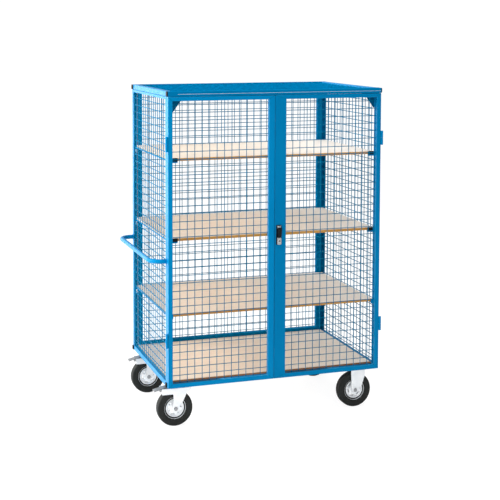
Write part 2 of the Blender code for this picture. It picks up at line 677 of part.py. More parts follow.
# Fork leg edges: (x from the axle, z). Left from the top down, right from below up;
# each leg also has a top edge between the two x values given first.
# The swivel cheek reaches back over the top of the tyre, beside the pedal.
SWIVEL_LEG = ((-0.078, 0.0905), [(-0.078, 0.172), (-0.013, 0.172), (-0.013, 0.136)],
              [(0.040, 0.136), (0.062, 0.182), (0.0905, 0.207)])
FIXED_LEG = ((-0.026, 0.0595), [(-0.024, 0.118)], [(0.038, 0.118), (0.059, 0.182)])


def legs(center, shape, top):
    """The two fork legs beside a wheel, round about the axle."""
    (top_left, top_right), left, right = shape
    x, y, z = center
    angles = [math.pi * (0.93 + 1.14 * k / 6) for k in range(7)]
    points = [(x + dx, height) for dx, height in [(top_left, top), *left]]
    points += [(x + LEG_EYE_R * math.cos(a), z + LEG_EYE_R * math.sin(a)) for a in angles]
    points += [(x + dx, height) for dx, height in [*right, (top_right, top)]]
    return [outline([points], LEG, at_y(y + k * (LEG_Y + LEG / 2))) for k in (-1, 1)]


def top_plate(x, y):
    return box(x - TOP_HALF[0], x + TOP_HALF[0], y - TOP_HALF[1], y + TOP_HALF[1],
               Z_MOUNT - TOP_T, Z_MOUNT)


def caster(name, x, y, swivel):
    center = (x - (TRAIL if swivel else 0), y, WHEEL_R)
    joint = None
    if swivel:
        joint = pivot("caster_%s_axis" % name, (x, y, 0))
        plate = join([top_plate(x, y), rod((x, y, Z_MOUNT - 0.0085), 0.0330, 0.0090, "Z", 20)])
        finish(plate, "caster_%s_plate" % name, ZINC, smooth=30)
        low = CROWN_TOP - CROWN_T
        crown = box(x - 0.0880, x + 0.0340, y - LEG_Y - LEG, y + LEG_Y + LEG, low, CROWN_TOP)
        solids = [crown, *legs(center, SWIVEL_LEG, low + LEG_LAP)]
    else:
        solids = [top_plate(x, y), *legs(center, FIXED_LEG, Z_MOUNT - TOP_T + LEG_LAP)]
    fork = join(solids, cuts=[rod(center, AXLE_HOLE_R, 0.09, "Y", 12)])
    finish(fork, "caster_%s_fork" % name, ZINC, joint)
    finish(axle(center), "caster_%s_axle" % name, ZINC, joint)
    wheel_axis = pivot("wheel_%s_axis" % name, center, joint)
    finish(turned(RIM_PROFILE, center), "wheel_%s_rim" % name, ZINC, wheel_axis, smooth=30)
    finish(turned(TYRE_PROFILE, center), "wheel_%s_tyre" % name, RUBBER, wheel_axis, smooth=30)
    if swivel:
        pedal_x = x + PEDAL_X
        pedal_axis = pivot("pedal_%s_axis" % name, (pedal_x, y, PEDAL_Z), joint)
        tread = [(pedal_x + dx, PEDAL_Z + dz) for dx, dz in PEDAL_PROFILE]
        finish(outline([tread], PEDAL_WIDTH, at_y(y)), "caster_%s_pedal" % name, ZINC,
               pedal_axis)


# The pair at the push bow swivels.
for side, side_name in ((-1, "left"), (1, "right")):
    for end, end_name in ((-1, "front"), (1, "rear")):
        caster(end_name + "_" + side_name, side * CASTER_X, CASTER_Y[end], swivel=side < 0)

bpy.context.view_layer.update()
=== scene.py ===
import json
import math

import bmesh
import bpy
from mathutils import Matrix, Vector


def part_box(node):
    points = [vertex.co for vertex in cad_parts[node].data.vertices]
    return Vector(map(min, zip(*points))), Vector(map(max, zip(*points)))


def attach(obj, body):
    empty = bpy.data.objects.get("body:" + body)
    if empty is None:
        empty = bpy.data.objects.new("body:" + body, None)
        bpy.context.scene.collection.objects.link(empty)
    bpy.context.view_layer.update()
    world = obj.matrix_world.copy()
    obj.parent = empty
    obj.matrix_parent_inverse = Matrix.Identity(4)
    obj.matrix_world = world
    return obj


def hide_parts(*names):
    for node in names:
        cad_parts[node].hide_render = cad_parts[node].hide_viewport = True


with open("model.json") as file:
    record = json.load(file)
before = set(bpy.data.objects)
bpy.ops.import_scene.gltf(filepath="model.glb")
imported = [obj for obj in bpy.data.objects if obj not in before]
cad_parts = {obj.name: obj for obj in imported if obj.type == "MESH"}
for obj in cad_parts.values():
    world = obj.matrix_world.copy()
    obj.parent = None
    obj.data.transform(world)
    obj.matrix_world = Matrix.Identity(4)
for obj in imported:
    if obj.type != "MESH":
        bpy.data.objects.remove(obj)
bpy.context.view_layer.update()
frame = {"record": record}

BODY = {n: b for b, ns in frame["record"]["behaviour"]["bodies"].items() for n in ns}

# ------------------------------------------------------------------ places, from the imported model
base_lo, base_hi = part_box("base_frame")
door_lo, door_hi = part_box("door_left_frame")
OX = (base_lo.x + base_hi.x) / 2
OY = (door_lo.y + base_hi.y) / 2
OFF = Vector((OX, OY, 0))


def cbox(node):
    """A node's box in cabinet coordinates: x and y from the cabinet's middle, z from the floor."""
    lo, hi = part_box(node)
    return lo - OFF, hi - OFF


X1 = (base_hi.x - base_lo.x) / 2
YB = base_hi.y - OY
YF = door_lo.y - OY
Z_BASE = base_lo.z
Z_RAIL = base_hi.z
Y_POST = base_lo.y - OY
PITCH = 0.04206
WIRE = 0.00202
WIRE_END = 0.00210


# ------------------------------------------------------------------ geometry store
class Geo:
    """Collects closed shells; every shell is turned so that its faces look outward."""

    def __init__(self):
        self.v, self.f, self.m = [], [], []

    def add(self, verts, faces, mat=0, inward=False):
        vol = 0.0
        for f in faces:
            a = verts[f[0]]
            for i in range(1, len(f) - 1):
                b, c = verts[f[i]], verts[f[i + 1]]
                vol += (a[0] * (b[1] * c[2] - b[2] * c[1]) - a[1] * (b[0] * c[2] - b[2] * c[0])
                        + a[2] * (b[0] * c[1] - b[1] * c[0]))
        turn = (vol < 0) != inward
        n = len(self.v)
        self.v += [tuple(p) for p in verts]
        mats = mat if isinstance(mat, list) else [mat] * len(faces)
        for f, k in zip(faces, mats):
            g = tuple(n + i for i in f)
            self.f.append(g[::-1] if turn else g)
            self.m.append(k)

    # -- solids
    def prism(self, poly, axis, lo, hi, mat=0, hole=None, side_mat=None):
        """poly is drawn in the two axes left over: Z (x, y), Y (x, z), X (y, z)."""
        put = {"Z": lambda u, v, w: (u, v, w), "Y": lambda u, v, w: (u, w, v), "X": lambda u, v, w: (w, u, v)}[axis]
        n = len(poly)
        verts = [put(u, v, lo) for u, v in poly] + [put(u, v, hi) for u, v in poly]
        faces = [(i, (i + 1) % n, n + (i + 1) % n, n + i) for i in range(n)]
        if hole is None:
            faces += [tuple(range(n))[::-1], tuple(range(n, 2 * n))]
        else:
            verts += [put(u, v, lo) for u, v in hole] + [put(u, v, hi) for u, v in hole]
            a, b = 2 * n, 3 * n
            faces += [(a + (i + 1) % n, a + i, b + i, b + (i + 1) % n) for i in range(n)]
            faces += [((i + 1) % n, i, a + i, a + (i + 1) % n) for i in range(n)]
            faces += [(n + i, n + (i + 1) % n, b + (i + 1) % n, b + i) for i in range(n)]
        mats = mat
        if side_mat is not None:
            mats = [side_mat(poly[i], poly[(i + 1) % n]) for i in range(n)] + [mat] * (len(faces) - n)
        self.add(verts, faces, mats)

    def ring(self, a0, a1, b0, b1, c0, c1, wl, wr, wb, wt, r, plane, wall=None, n=3, mat=0):
        """A mitred rectangular frame of rounded tube. plane is XZ, XY or YZ; c is the depth across it."""
        put = {"XZ": lambda a, b, c: (a, c, b), "XY": lambda a, b, c: (a, b, c), "YZ": lambda a, b, c: (c, a, b)}[plane]
        for t, inward in ((0.0, False),) + (((wall, True),) if wall else ()):
            rad = max(r - t, 0.0004)
            prof = []
            for k, cc, q in ((0, c0, 2), (1, c0, 3), (1, c1, 0), (0, c1, 1)):
                for i in range(n + 1):
                    ang = math.pi / 2 * (q + i / n)
                    du, dv = math.cos(ang), math.sin(ang)
                    d = t + rad + (du if k == 0 else -du) * rad
                    c = cc + (t + rad if q in (2, 3) else -t - rad) + dv * rad
                    prof.append((k, d, c))
            n_p = len(prof)
            verts = []
            for sx, sb in ((0, 0), (1, 0), (1, 1), (0, 1)):
                wx, wb_ = (wr if sx else wl), (wt if sb else wb)
                for k, d, c in prof:
                    px = d if k == 0 else wx - d
                    pb = d if k == 0 else wb_ - d
                    verts.append(put(a1 - px if sx else a0 + px, b1 - pb if sb else b0 + pb, c))
            faces = []
            for s in range(4):
                for i in range(n_p):
                    j = (i + 1) % n_p
                    faces.append((s * n_p + i, s * n_p + j, ((s + 1) % 4) * n_p + j, ((s + 1) % 4) * n_p + i))
            self.add(verts, faces, mat, inward)

    def sweep(self, path, radius, sides=16, mat=0, squash=None):
        """A round tube along points; radius may be a list. squash = (direction, factor) flattens the section."""
        path = [Vector(p) for p in path]
        rads = radius if isinstance(radius, list) else [radius] * len(path)
        verts, prev = [], None
        for i, p in enumerate(path):
            t = (path[min(i + 1, len(path) - 1)] - path[max(i - 1, 0)]).normalized()
            if prev is None:
                ref = Vector(squash[0]) if squash else (Vector((0, 0, 1)) if abs(t.z) < 0.9 else Vector((1, 0, 0)))
                prev = (ref - t * ref.dot(t)).normalized()
            else:
                prev = (prev - t * prev.dot(t)).normalized()
            side = t.cross(prev)
            k = squash[1] if squash else 1.0
            for s in range(sides):
                a = 2 * math.pi * s / sides
                verts.append(p + (prev * (math.cos(a) * k) + side * math.sin(a)) * rads[i])
        faces = [tuple(range(sides))]
        for i in range(len(path) - 1):
            for s in range(sides):
                u = (s + 1) % sides
                faces.append((i * sides + s, (i + 1) * sides + s, (i + 1) * sides + u, i * sides + u))
        last = (len(path) - 1) * sides
        faces.append(tuple(last + s for s in range(sides))[::-1])
        self.add(verts, faces, mat)

    def lathe(self, prof, center, axis="Z", steps=32, mat=0, phase=0.0, closed=True):
        """prof is (radius, height) along the axis. A closed profile makes a ring; an open one starts and ends on the axis."""
        c = Vector(center)
        put = {"Z": lambda x, y, h: (x, y, h), "Y": lambda x, y, h: (x, h, y), "X": lambda x, y, h: (h, x, y)}[axis]
        verts, rows = [], []
        for r, h in prof:
            if r < 1e-7:
                rows.append([len(verts)] * steps)
                verts.append(c + Vector(put(0, 0, h)))
            else:
                rows.append(list(range(len(verts), len(verts) + steps)))
                for s in range(steps):
                    a = phase + 2 * math.pi * s / steps
                    verts.append(c + Vector(put(r * math.cos(a), r * math.sin(a), h)))
        faces = []
        for i in range(len(rows) if closed else len(rows) - 1):
            ra, rb = rows[i], rows[(i + 1) % len(rows)]
            for s in range(steps):
                u = (s + 1) % steps
                f = []
                for q in (ra[s], rb[s], rb[u], ra[u]):
                    if q not in f:
                        f.append(q)
                if len(f) > 2:
                    faces.append(tuple(f))
        self.add(verts, faces, mat)

    def bead(self, p0, p1, normal, width=0.0042, high=0.0011, mat=0):
        """A weld bead: a flattened, rippled cord lying on a surface."""
        p0, p1 = Vector(p0), Vector(p1)
        n = max(3, min(24, int((p1 - p0).length / 0.0022)))
        path, rad = [], []
        for i in range(n + 1):
            t = i / n
            path.append(p0.lerp(p1, t))
            end = min(1.0, 0.45 + 4 * min(t, 1 - t))
            rad.append(width / 2 * end * (0.90 + 0.10 * math.sin(i * 2.4) + 0.05 * math.sin(i * 1.13 + 1)))
        self.sweep(path, rad, 8, mat, squash=(normal, high / (width / 2)))

    def hexagon(self, center, axis, across, high, sign=1, mat=0, washer=True, turn=0.2):
        """A hex head with a chamfered top and a washer. It stands on center and rises along sign * axis."""
        r = across / math.sqrt(3)
        if washer:
            self.lathe([(0, 0), (across * 0.66, 0), (across * 0.70, sign * 0.0004), (across * 0.68, sign * 0.0014),
                        (0, sign * 0.0014)], center, axis, 24, mat, closed=False)
        z0 = sign * 0.0012
        c = Vector(center)
        put = {"Z": lambda x, y, h: (x, y, h), "Y": lambda x, y, h: (x, h, y), "X": lambda x, y, h: (h, x, y)}[axis]
        rows, verts = [], []
        for rr_, h in ((r, z0), (r, z0 + sign * (high - 0.0009)), (r * 0.90, z0 + sign * high)):
            rows.append(len(verts))
            for s in range(6):
                a = turn + math.pi / 3 * s
                verts.append(c + Vector(put(rr_ * math.cos(a), rr_ * math.sin(a), h)))
        faces = [(5, 4, 3, 2, 1, 0), tuple(range(12, 18))]
        for a, b in ((0, 6), (6, 12)):
            faces += [(a + s, a + (s + 1) % 6, b + (s + 1) % 6, b + s) for s in range(6)]
        self.add(verts, faces, mat)

    def wire(self, p0, p1, r=WIRE, sides=8, mat=0):
        self.sweep([p0, p1], r, sides, mat)


def rr(a0, a1, b0, b1, r, n=3):
    """A rounded rectangle."""
    pts = []
    for cx, cy, q in ((a1 - r, b1 - r, 0), (a0 + r, b1 - r, 1), (a0 + r, b0 + r, 2), (a1 - r, b0 + r, 3)):
        for i in range(n + 1):
            a = math.pi / 2 * (q + i / n)
            pts.append((cx + r * math.cos(a), cy + r * math.sin(a)))
    return pts


def fillet(poly, radii, n=4):
    """Rounds the corners of a polygon. radii is one number or one per corner."""
    out, k = [], len(poly)
    for i in range(k):
        r = radii[i] if isinstance(radii, (list, tuple)) else radii
        p, a, b = Vector(poly[i]), Vector(poly[i - 1]), Vector(poly[(i + 1) % k])
        u, v = (a - p), (b - p)
        lu, lv = u.length, v.length
        u, v = u / lu, v / lv
        ang = u.angle(v)
        if r < 1e-6 or ang > math.radians(176):
            out.append(tuple(p))
            continue
        d = min(r / math.tan(ang / 2), 0.48 * lu, 0.48 * lv)
        rr_ = d * math.tan(ang / 2)
        c = p + (u + v).normalized() * (rr_ / math.sin(ang / 2))
        s, e = p + u * d - c, p + v * d - c
        a0 = math.atan2(s.y, s.x)
        da = math.atan2(e.y, e.x) - a0
        while da > math.pi:
            da -= 2 * math.pi
        while da < -math.pi:
            da += 2 * math.pi
        for j in range(n + 1):
            t = a0 + da * j / n
            out.append((c.x + rr_ * math.cos(t), c.y + rr_ * math.sin(t)))
    return out


def mirror(poly, side):
    return [(side * u, v) for u, v in poly]


# ------------------------------------------------------------------ materials
def tree(name, view):
    m = bpy.data.materials.new(name)
    m.use_nodes = True
    m.diffuse_color = (*view, 1)
    nt = m.node_tree
    return m, nt, nt.nodes["Principled BSDF"]


def node(nt, kind, **values):
    n = nt.nodes.new(kind)
    for k, v in values.items():
        if k.startswith("_"):
            setattr(n, k[1:], v)
        else:
            n.inputs[k.replace("__", " ")].default_value = v
    return n


def coords(nt, scale=(1, 1, 1)):
    tc = nt.nodes.new("ShaderNodeTexCoord")
    mp = nt.nodes.new("ShaderNodeMapping")
    mp.inputs["Scale"].default_value = scale
    nt.links.new(tc.outputs["Object"], mp.inputs["Vector"])
    return mp.outputs["Vector"]


def noise(nt, vec, scale, detail=4.0, rough=0.55, distortion=0.0):
    n = node(nt, "ShaderNodeTexNoise", Scale=scale, Detail=detail, Roughness=rough, Distortion=distortion)
    nt.links.new(vec, n.inputs["Vector"])
    return n.outputs["Fac"]


def ramp(nt, fac, stops):
    n = nt.nodes.new("ShaderNodeValToRGB")
    while len(n.color_ramp.elements) < len(stops):
        n.color_ramp.elements.new(0.5)
    for e, (pos, col) in zip(n.color_ramp.elements, stops):
        e.position = pos
        e.color = (*col, 1) if isinstance(col, tuple) else (col, col, col, 1)
    nt.links.new(fac, n.inputs["Fac"])
    return n.outputs["Color"]


def mix(nt, fac, a, b, mode="MIX"):
    n = nt.nodes.new("ShaderNodeMix")
    n.data_type = "RGBA"
    n.blend_type = mode
    for sock, v in ((0, fac), (6, a), (7, b)):
        if isinstance(v, bpy.types.NodeSocket):
            nt.links.new(v, n.inputs[sock])
        elif isinstance(v, tuple):
            n.inputs[sock].default_value = (*v, 1)
        else:
            n.inputs[sock].default_value = v
    return n.outputs[2]


def maths(nt, op, a, b=None, clamp=False):
    n = nt.nodes.new("ShaderNodeMath")
    n.operation = op
    n.use_clamp = clamp
    for i, v in enumerate((a, b)):
        if v is None:
            continue
        if isinstance(v, bpy.types.NodeSocket):
            nt.links.new(v, n.inputs[i])
        else:
            n.inputs[i].default_value = v
    return n.outputs[0]


def spread(nt, fac, lo, hi, a=0.0, b=1.0):
    n = nt.nodes.new("ShaderNodeMapRange")
    nt.links.new(fac, n.inputs["Value"])
    for k, v in (("From Min", a), ("From Max", b), ("To Min", lo), ("To Max", hi)):
        n.inputs[k].default_value = v
    return n.outputs["Result"]


def bump(nt, height, strength, distance, normal=None):
    n = node(nt, "ShaderNodeBump", Strength=strength, Distance=distance)
    nt.links.new(height, n.inputs["Height"])
    if normal is not None:
        nt.links.new(normal, n.inputs["Normal"])
    return n.outputs["Normal"]


def edges(nt, radius, gain=6.0):
    """1 near a sharp edge, 0 on the flats, from how far a rounded normal turns away from the true one."""
    bev = nt.nodes.new("ShaderNodeBevel")
    bev.samples = 4
    bev.inputs["Radius"].default_value = radius
    geo = nt.nodes.new("ShaderNodeNewGeometry")
    dot = nt.nodes.new("ShaderNodeVectorMath")
    dot.operation = "DOT_PRODUCT"
    nt.links.new(bev.outputs[0], dot.inputs[0])
    nt.links.new(geo.outputs["True Normal"], dot.inputs[1])
    d = maths(nt, "SUBTRACT", 1.0, dot.outputs["Value"])
    return maths(nt, "MULTIPLY", d, gain, clamp=True)


def paint(name, wear=True, dark=1.0, shade=(0.0, 0.118, 0.320), gloss=0.30, teal=1.0):
    m, nt, b = tree(name, (0.0, 0.19 * dark, 0.45 * dark))
    v = coords(nt)
    big = noise(nt, v, 2.3, 3)
    col = ramp(nt, big, [(0.30, (0.0000, 0.178 * dark * teal, 0.405 * dark)), (0.70, (0.0004, 0.204 * dark * teal, 0.446 * dark))])
    mottle = noise(nt, v, 140, 3)
    col = mix(nt, maths(nt, "MULTIPLY", mottle, 0.16), col, tuple(c * dark for c in shade))
    peel = noise(nt, v, 620, 2.5, 0.5)
    rough = spread(nt, noise(nt, v, 26, 5), 0.30, 0.46, 0.3, 0.7)
    if wear:
        e = edges(nt, 0.0016)
        patch = ramp(nt, noise(nt, v, 55, 6, 0.7), [(0.50, 0.0), (0.64, 1.0)])
        worn = maths(nt, "MULTIPLY", e, patch)
        col = mix(nt, maths(nt, "MULTIPLY", e, 0.20), col, (0.015, 0.30, 0.62))
        col = mix(nt, maths(nt, "MULTIPLY", worn, 0.38), col, (0.16, 0.27, 0.35))
        scuff = ramp(nt, noise(nt, coords(nt, (60, 60, 7)), 2.2, 8, 0.75), [(0.63, 0.0), (0.70, 1.0)])
        col = mix(nt, maths(nt, "MULTIPLY", scuff, 0.10), col, (0.10, 0.30, 0.52))
        rough = maths(nt, "ADD", rough, maths(nt, "MULTIPLY", scuff, 0.14))
    nt.links.new(col, b.inputs["Base Color"])
    nt.links.new(rough, b.inputs["Roughness"])
    nt.links.new(bump(nt, peel, 0.22, 0.0003), b.inputs["Normal"])
    b.inputs["Specular IOR Level"].default_value = gloss
    b.inputs["Specular Tint"].default_value = (0.03, 0.45, 0.85, 1)
    return m


def wood_top(name, tone=1.0):
    m, nt, b = tree(name, (0.8, 0.56, 0.38))
    v = coords(nt, (1.0, 9.0, 9.0))
    warp = noise(nt, coords(nt, (0.9, 5, 5)), 1.6, 3)
    fine = noise(nt, coords(nt, (3.2, 150, 150)), 1.0, 6, 0.62)
    band = noise(nt, v, 2.4, 5, 0.6, 0.9)
    col = ramp(nt, band, [(0.22, (0.745, 0.585, 0.445)), (0.50, (0.820, 0.678, 0.535)), (0.80, (0.870, 0.752, 0.625))])
    streak = ramp(nt, fine, [(0.36, (0.67, 0.510, 0.375)), (0.62, (0.86, 0.727, 0.590))])
    col = mix(nt, 0.34, col, streak)
    col = mix(nt, maths(nt, "MULTIPLY", warp, 0.22), col, (0.84, 0.71, 0.59))
    fleck = nt.nodes.new("ShaderNodeTexVoronoi")
    fleck.feature = "F1"
    fleck.inputs["Scale"].default_value = 1.0
    nt.links.new(coords(nt, (120, 900, 900)), fleck.inputs["Vector"])
    f = ramp(nt, fleck.outputs["Distance"], [(0.10, 1.0), (0.24, 0.0)])
    col = mix(nt, maths(nt, "MULTIPLY", f, 0.30), col, (0.47, 0.31, 0.20))
    # painted light: the boards are paler towards the right end of the cabinet, where the lamps leave them darker
    across = nt.nodes.new("ShaderNodeSeparateXYZ")
    nt.links.new(coords(nt, (1, 1, 1)), across.inputs[0])
    painted_light_ramp = ramp(nt, maths(nt, "ADD", across.outputs[0], 0.5), [(0.35, 0.0), (1.0, 0.60)])
    col = mix(nt, painted_light_ramp, col, (0.99, 0.93, 0.86))
    if tone != 1.0:
        col = mix(nt, 1.0, col, (tone, tone * 1.04, tone * 1.04), "MULTIPLY")
    nt.links.new(col, b.inputs["Base Color"])
    nt.links.new(spread(nt, fine, 0.42, 0.60, 0.3, 0.7), b.inputs["Roughness"])
    h = maths(nt, "ADD", fine, maths(nt, "MULTIPLY", f, -0.5))
    nt.links.new(bump(nt, h, 0.20, 0.0003), b.inputs["Normal"])
    b.inputs["Specular IOR Level"].default_value = 0.35
    return m


def wood_edge(name, dark=1.0):
    m, nt, b = tree(name, (0.5 * dark, 0.24 * dark, 0.05 * dark))
    fine = noise(nt, coords(nt, (6, 6, 420)), 1.0, 5, 0.6)
    ply = noise(nt, coords(nt, (1.2, 1.2, 260)), 1.0, 2, 0.4)
    col = ramp(nt, ply, [(0.30, (0.450, 0.195, 0.030)), (0.52, (0.640, 0.315, 0.062)), (0.75, (0.740, 0.410, 0.110))])
    col = mix(nt, maths(nt, "MULTIPLY", fine, 0.40), col, (0.30, 0.120, 0.020))
    pore = ramp(nt, noise(nt, coords(nt, (260, 260, 700)), 1.0, 3, 0.6), [(0.62, 0.0), (0.70, 1.0)])
    col = mix(nt, maths(nt, "MULTIPLY", pore, 0.45), col, (0.16, 0.060, 0.012))
    if dark != 1.0:
        col = mix(nt, 1.0, col, (dark, dark * 0.85, dark * 0.75), "MULTIPLY")
    nt.links.new(col, b.inputs["Base Color"])
    nt.links.new(spread(nt, fine, 0.48, 0.66, 0.3, 0.7), b.inputs["Roughness"])
    nt.links.new(bump(nt, fine, 0.25, 0.0003), b.inputs["Normal"])
    b.inputs["Specular IOR Level"].default_value = 0.3
    return m


def zinc(name, tone=1.0):
    m, nt, b = tree(name, (0.75, 0.77, 0.79))
    v = coords(nt)
    cell = nt.nodes.new("ShaderNodeTexVoronoi")
    cell.inputs["Scale"].default_value = 210
    nt.links.new(v, cell.inputs["Vector"])
    flake = nt.nodes.new("ShaderNodeSeparateColor")
    nt.links.new(cell.outputs["Color"], flake.inputs[0])
    cloud = noise(nt, v, 24, 5, 0.6)
    col = ramp(nt, cloud, [(0.32, (0.84 * tone, 0.87 * tone, 0.89 * tone)), (0.68, (0.95 * tone, 0.97 * tone, 0.98 * tone))])
    col = mix(nt, maths(nt, "MULTIPLY", flake.outputs[0], 0.16), col, (0.70 * tone, 0.74 * tone, 0.78 * tone))
    stain = ramp(nt, noise(nt, v, 70, 7, 0.7), [(0.60, 0.0), (0.72, 1.0)])
    col = mix(nt, maths(nt, "MULTIPLY", stain, 0.16), col, (0.58, 0.57, 0.54))
    # painted shade: darker in corners and crevices, from an ambient occlusion mask
    ao = nt.nodes.new("ShaderNodeAmbientOcclusion")
    ao.samples = 6
    ao.inputs["Distance"].default_value = 0.010
    painted_crevice_shade = ramp(nt, ao.outputs["AO"], [(0.22, 1.0), (0.58, 0.0)])
    col = mix(nt, maths(nt, "MULTIPLY", painted_crevice_shade, 0.85), col, (0.045, 0.050, 0.055))
    nt.links.new(col, b.inputs["Base Color"])
    b.inputs["Metallic"].default_value = 0.50
    rough = maths(nt, "ADD", spread(nt, flake.outputs[1], 0.30, 0.42), maths(nt, "MULTIPLY", stain, 0.14))
    nt.links.new(rough, b.inputs["Roughness"])
    nt.links.new(bump(nt, noise(nt, v, 900, 3), 0.16, 0.0002), b.inputs["Normal"])
    return m


def rubber(name):
    m, nt, b = tree(name, (0.02, 0.02, 0.02))
    v = coords(nt)
    cloud = noise(nt, v, 18, 6, 0.65)
    col = ramp(nt, cloud, [(0.30, (0.0080, 0.0094, 0.0085)), (0.72, (0.0155, 0.0172, 0.0155))])
    dust = ramp(nt, noise(nt, v, 95, 7, 0.75), [(0.52, 0.0), (0.74, 1.0)])
    col = mix(nt, maths(nt, "MULTIPLY", dust, 0.22), col, (0.070, 0.068, 0.060))
    nt.links.new(col, b.inputs["Base Color"])
    nt.links.new(spread(nt, cloud, 0.52, 0.78, 0.3, 0.7), b.inputs["Roughness"])
    grain = maths(nt, "ADD", noise(nt, v, 1500, 2), maths(nt, "MULTIPLY", dust, 0.5))
    nt.links.new(bump(nt, grain, 0.30, 0.0003), b.inputs["Normal"])
    b.inputs["Specular IOR Level"].default_value = 0.24
    return m


def plastic(name):
    m, nt, b = tree(name, (0.015, 0.015, 0.02))
    v = coords(nt)
    cell = nt.nodes.new("ShaderNodeTexVoronoi")
    cell.inputs["Scale"].default_value = 1300
    nt.links.new(v, cell.inputs["Vector"])
    cloud = noise(nt, v, 60, 4)
    col = ramp(nt, cloud, [(0.3, (0.0030, 0.0044, 0.0055)), (0.7, (0.0060, 0.0085, 0.0105))])
    e = edges(nt, 0.0012)
    col = mix(nt, maths(nt, "MULTIPLY", e, 0.20), col, (0.020, 0.026, 0.032))
    nt.links.new(col, b.inputs["Base Color"])
    nt.links.new(spread(nt, cloud, 0.38, 0.54, 0.3, 0.7), b.inputs["Roughness"])
    nt.links.new(bump(nt, cell.outputs["Distance"], 0.35, 0.00025), b.inputs["Normal"])
    b.inputs["Specular IOR Level"].default_value = 0.12
    return m


def silver(name, tone=1.0):
    m, nt, b = tree(name, (0.7, 0.7, 0.7))
    brush = noise(nt, coords(nt, (900, 900, 30)), 1.0, 3)
    cloud = noise(nt, coords(nt), 80, 4)
    col = ramp(nt, cloud, [(0.3, (0.60 * tone, 0.61 * tone, 0.62 * tone)), (0.7, (0.76 * tone, 0.765 * tone, 0.77 * tone))])
    e = edges(nt, 0.0010)
    col = mix(nt, maths(nt, "MULTIPLY", e, 0.5), col, (0.86 * tone, 0.86 * tone, 0.86 * tone))
    nt.links.new(col, b.inputs["Base Color"])
    b.inputs["Metallic"].default_value = 0.75
    nt.links.new(spread(nt, brush, 0.26, 0.42, 0.3, 0.7), b.inputs["Roughness"])
    nt.links.new(bump(nt, brush, 0.10, 0.0002), b.inputs["Normal"])
    return m


M = {
    "blue": paint("blue_powder_coat"),
    # painted shade: a darker, glossless copy of the blue, for the roof tubes' top and front and for the rear frame
    "roof": paint("blue_powder_coat_roof_painted_shade", dark=0.80, gloss=0.0),
    # painted shade: a darker, glossless copy of the blue for the roof's wires
    "wire_roof": paint("blue_powder_coat_wire_roof_painted_shade", wear=False, dark=0.70, gloss=0.0),
    # painted shade: a darker copy of the blue for the right door's frame
    "right": paint("blue_powder_coat_right_painted_shade", dark=0.86, gloss=0.16),
    # painted shade: the wires take darkened copies of the blue, less dark on the left side where the key lamp falls
    "wire": paint("blue_powder_coat_wire_painted_shade", wear=False, dark=0.60, gloss=0.05, teal=1.18),
    "wire_lit": paint("blue_powder_coat_wire_lit", wear=False, dark=0.78, gloss=0.18, teal=1.18),
    # painted shade: a dark copy of the blue for parts that sit in shadow
    "shade": paint("blue_powder_coat_painted_shade", dark=0.42),
    "wood": wood_top("beech_face"),
    "end": wood_top("beech_end", 0.50),
    "edge": wood_edge("beech_edge"),
    # painted shade: a dark copy of the wood edge for the deck's front strip
    "lip": wood_edge("beech_lipping", 0.35),
    "zinc": zinc("bright_zinc"),
    # a darker zinc, used only for the roof's painted highlight strip
    "zinc_painted_highlight": zinc("zinc_painted_highlight_strip", 0.72),
    "pedal": zinc("zinc_pedal", 0.26),
    "bolt": zinc("zinc_bolt", 0.36),
    "fork": zinc("zinc_fork", 0.90),
    "rubber": rubber("black_rubber"),
    "plastic": plastic("black_plastic_grained"),
    "silver": silver("die_cast_silver"),
    "cast": silver("die_cast_grey", 0.62),
    # painted shade: a dark silver for the key plug's recess
    "plug": silver("plug_face_painted_shade", 0.26),
}


# ------------------------------------------------------------------ from store to piece
def mesh_of(name, geo, shift=True):
    me = bpy.data.meshes.new(name)
    o = OFF if shift else Vector((0, 0, 0))
    me.from_pydata([(x + o.x, y + o.y, z + o.z) for x, y, z in geo.v], [], geo.f)
    me.polygons.foreach_set("material_index", geo.m)
    me.update()
    return me


def boolean(mesh, cutters):
    """The mesh less the cutter stores, solved exactly."""
    base = bpy.data.objects.new("cut_base", mesh)
    bpy.context.scene.collection.objects.link(base)
    used = [base]
    for g in cutters:
        c = bpy.data.objects.new("cutter", mesh_of("cutter", g))
        bpy.context.scene.collection.objects.link(c)
        used.append(c)
        m = base.modifiers.new("cut", "BOOLEAN")
        m.operation, m.solver, m.object = "DIFFERENCE", "EXACT", c
    bpy.context.view_layer.update()
    out = bpy.data.meshes.new_from_object(base.evaluated_get(bpy.context.evaluated_depsgraph_get()))
    for o in used:
        bpy.data.objects.remove(o)
    return out


def piece(name, geo, mats, nodes=(), body=None, bevel=0.0006, segments=2, angle=38, mesh=None):
    me = mesh if mesh is not None else mesh_of(name, geo)
    me.name = name
    index = [0] * len(me.polygons)
    me.polygons.foreach_get("material_index", index)
    me.materials.clear()
    for k in mats:
        me.materials.append(M[k])
    me.polygons.foreach_set("material_index", [min(i, len(mats) - 1) for i in index])
    me.shade_smooth()
    ob = bpy.data.objects.new(name, me)
    bpy.context.scene.collection.objects.link(ob)
    if bevel:
        bv = ob.modifiers.new("edge", "BEVEL")
        bv.width, bv.segments = bevel, segments
        bv.limit_method, bv.angle_limit = "ANGLE", math.radians(angle)
        bv.use_clamp_overlap = True
    wn = ob.modifiers.new("shade", "WEIGHTED_NORMAL")
    wn.mode, wn.weight, wn.keep_sharp = "FACE_AREA", 60, False
    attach(ob, body or BODY[nodes[0]])
    if nodes:
        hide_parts(*nodes)
    return ob


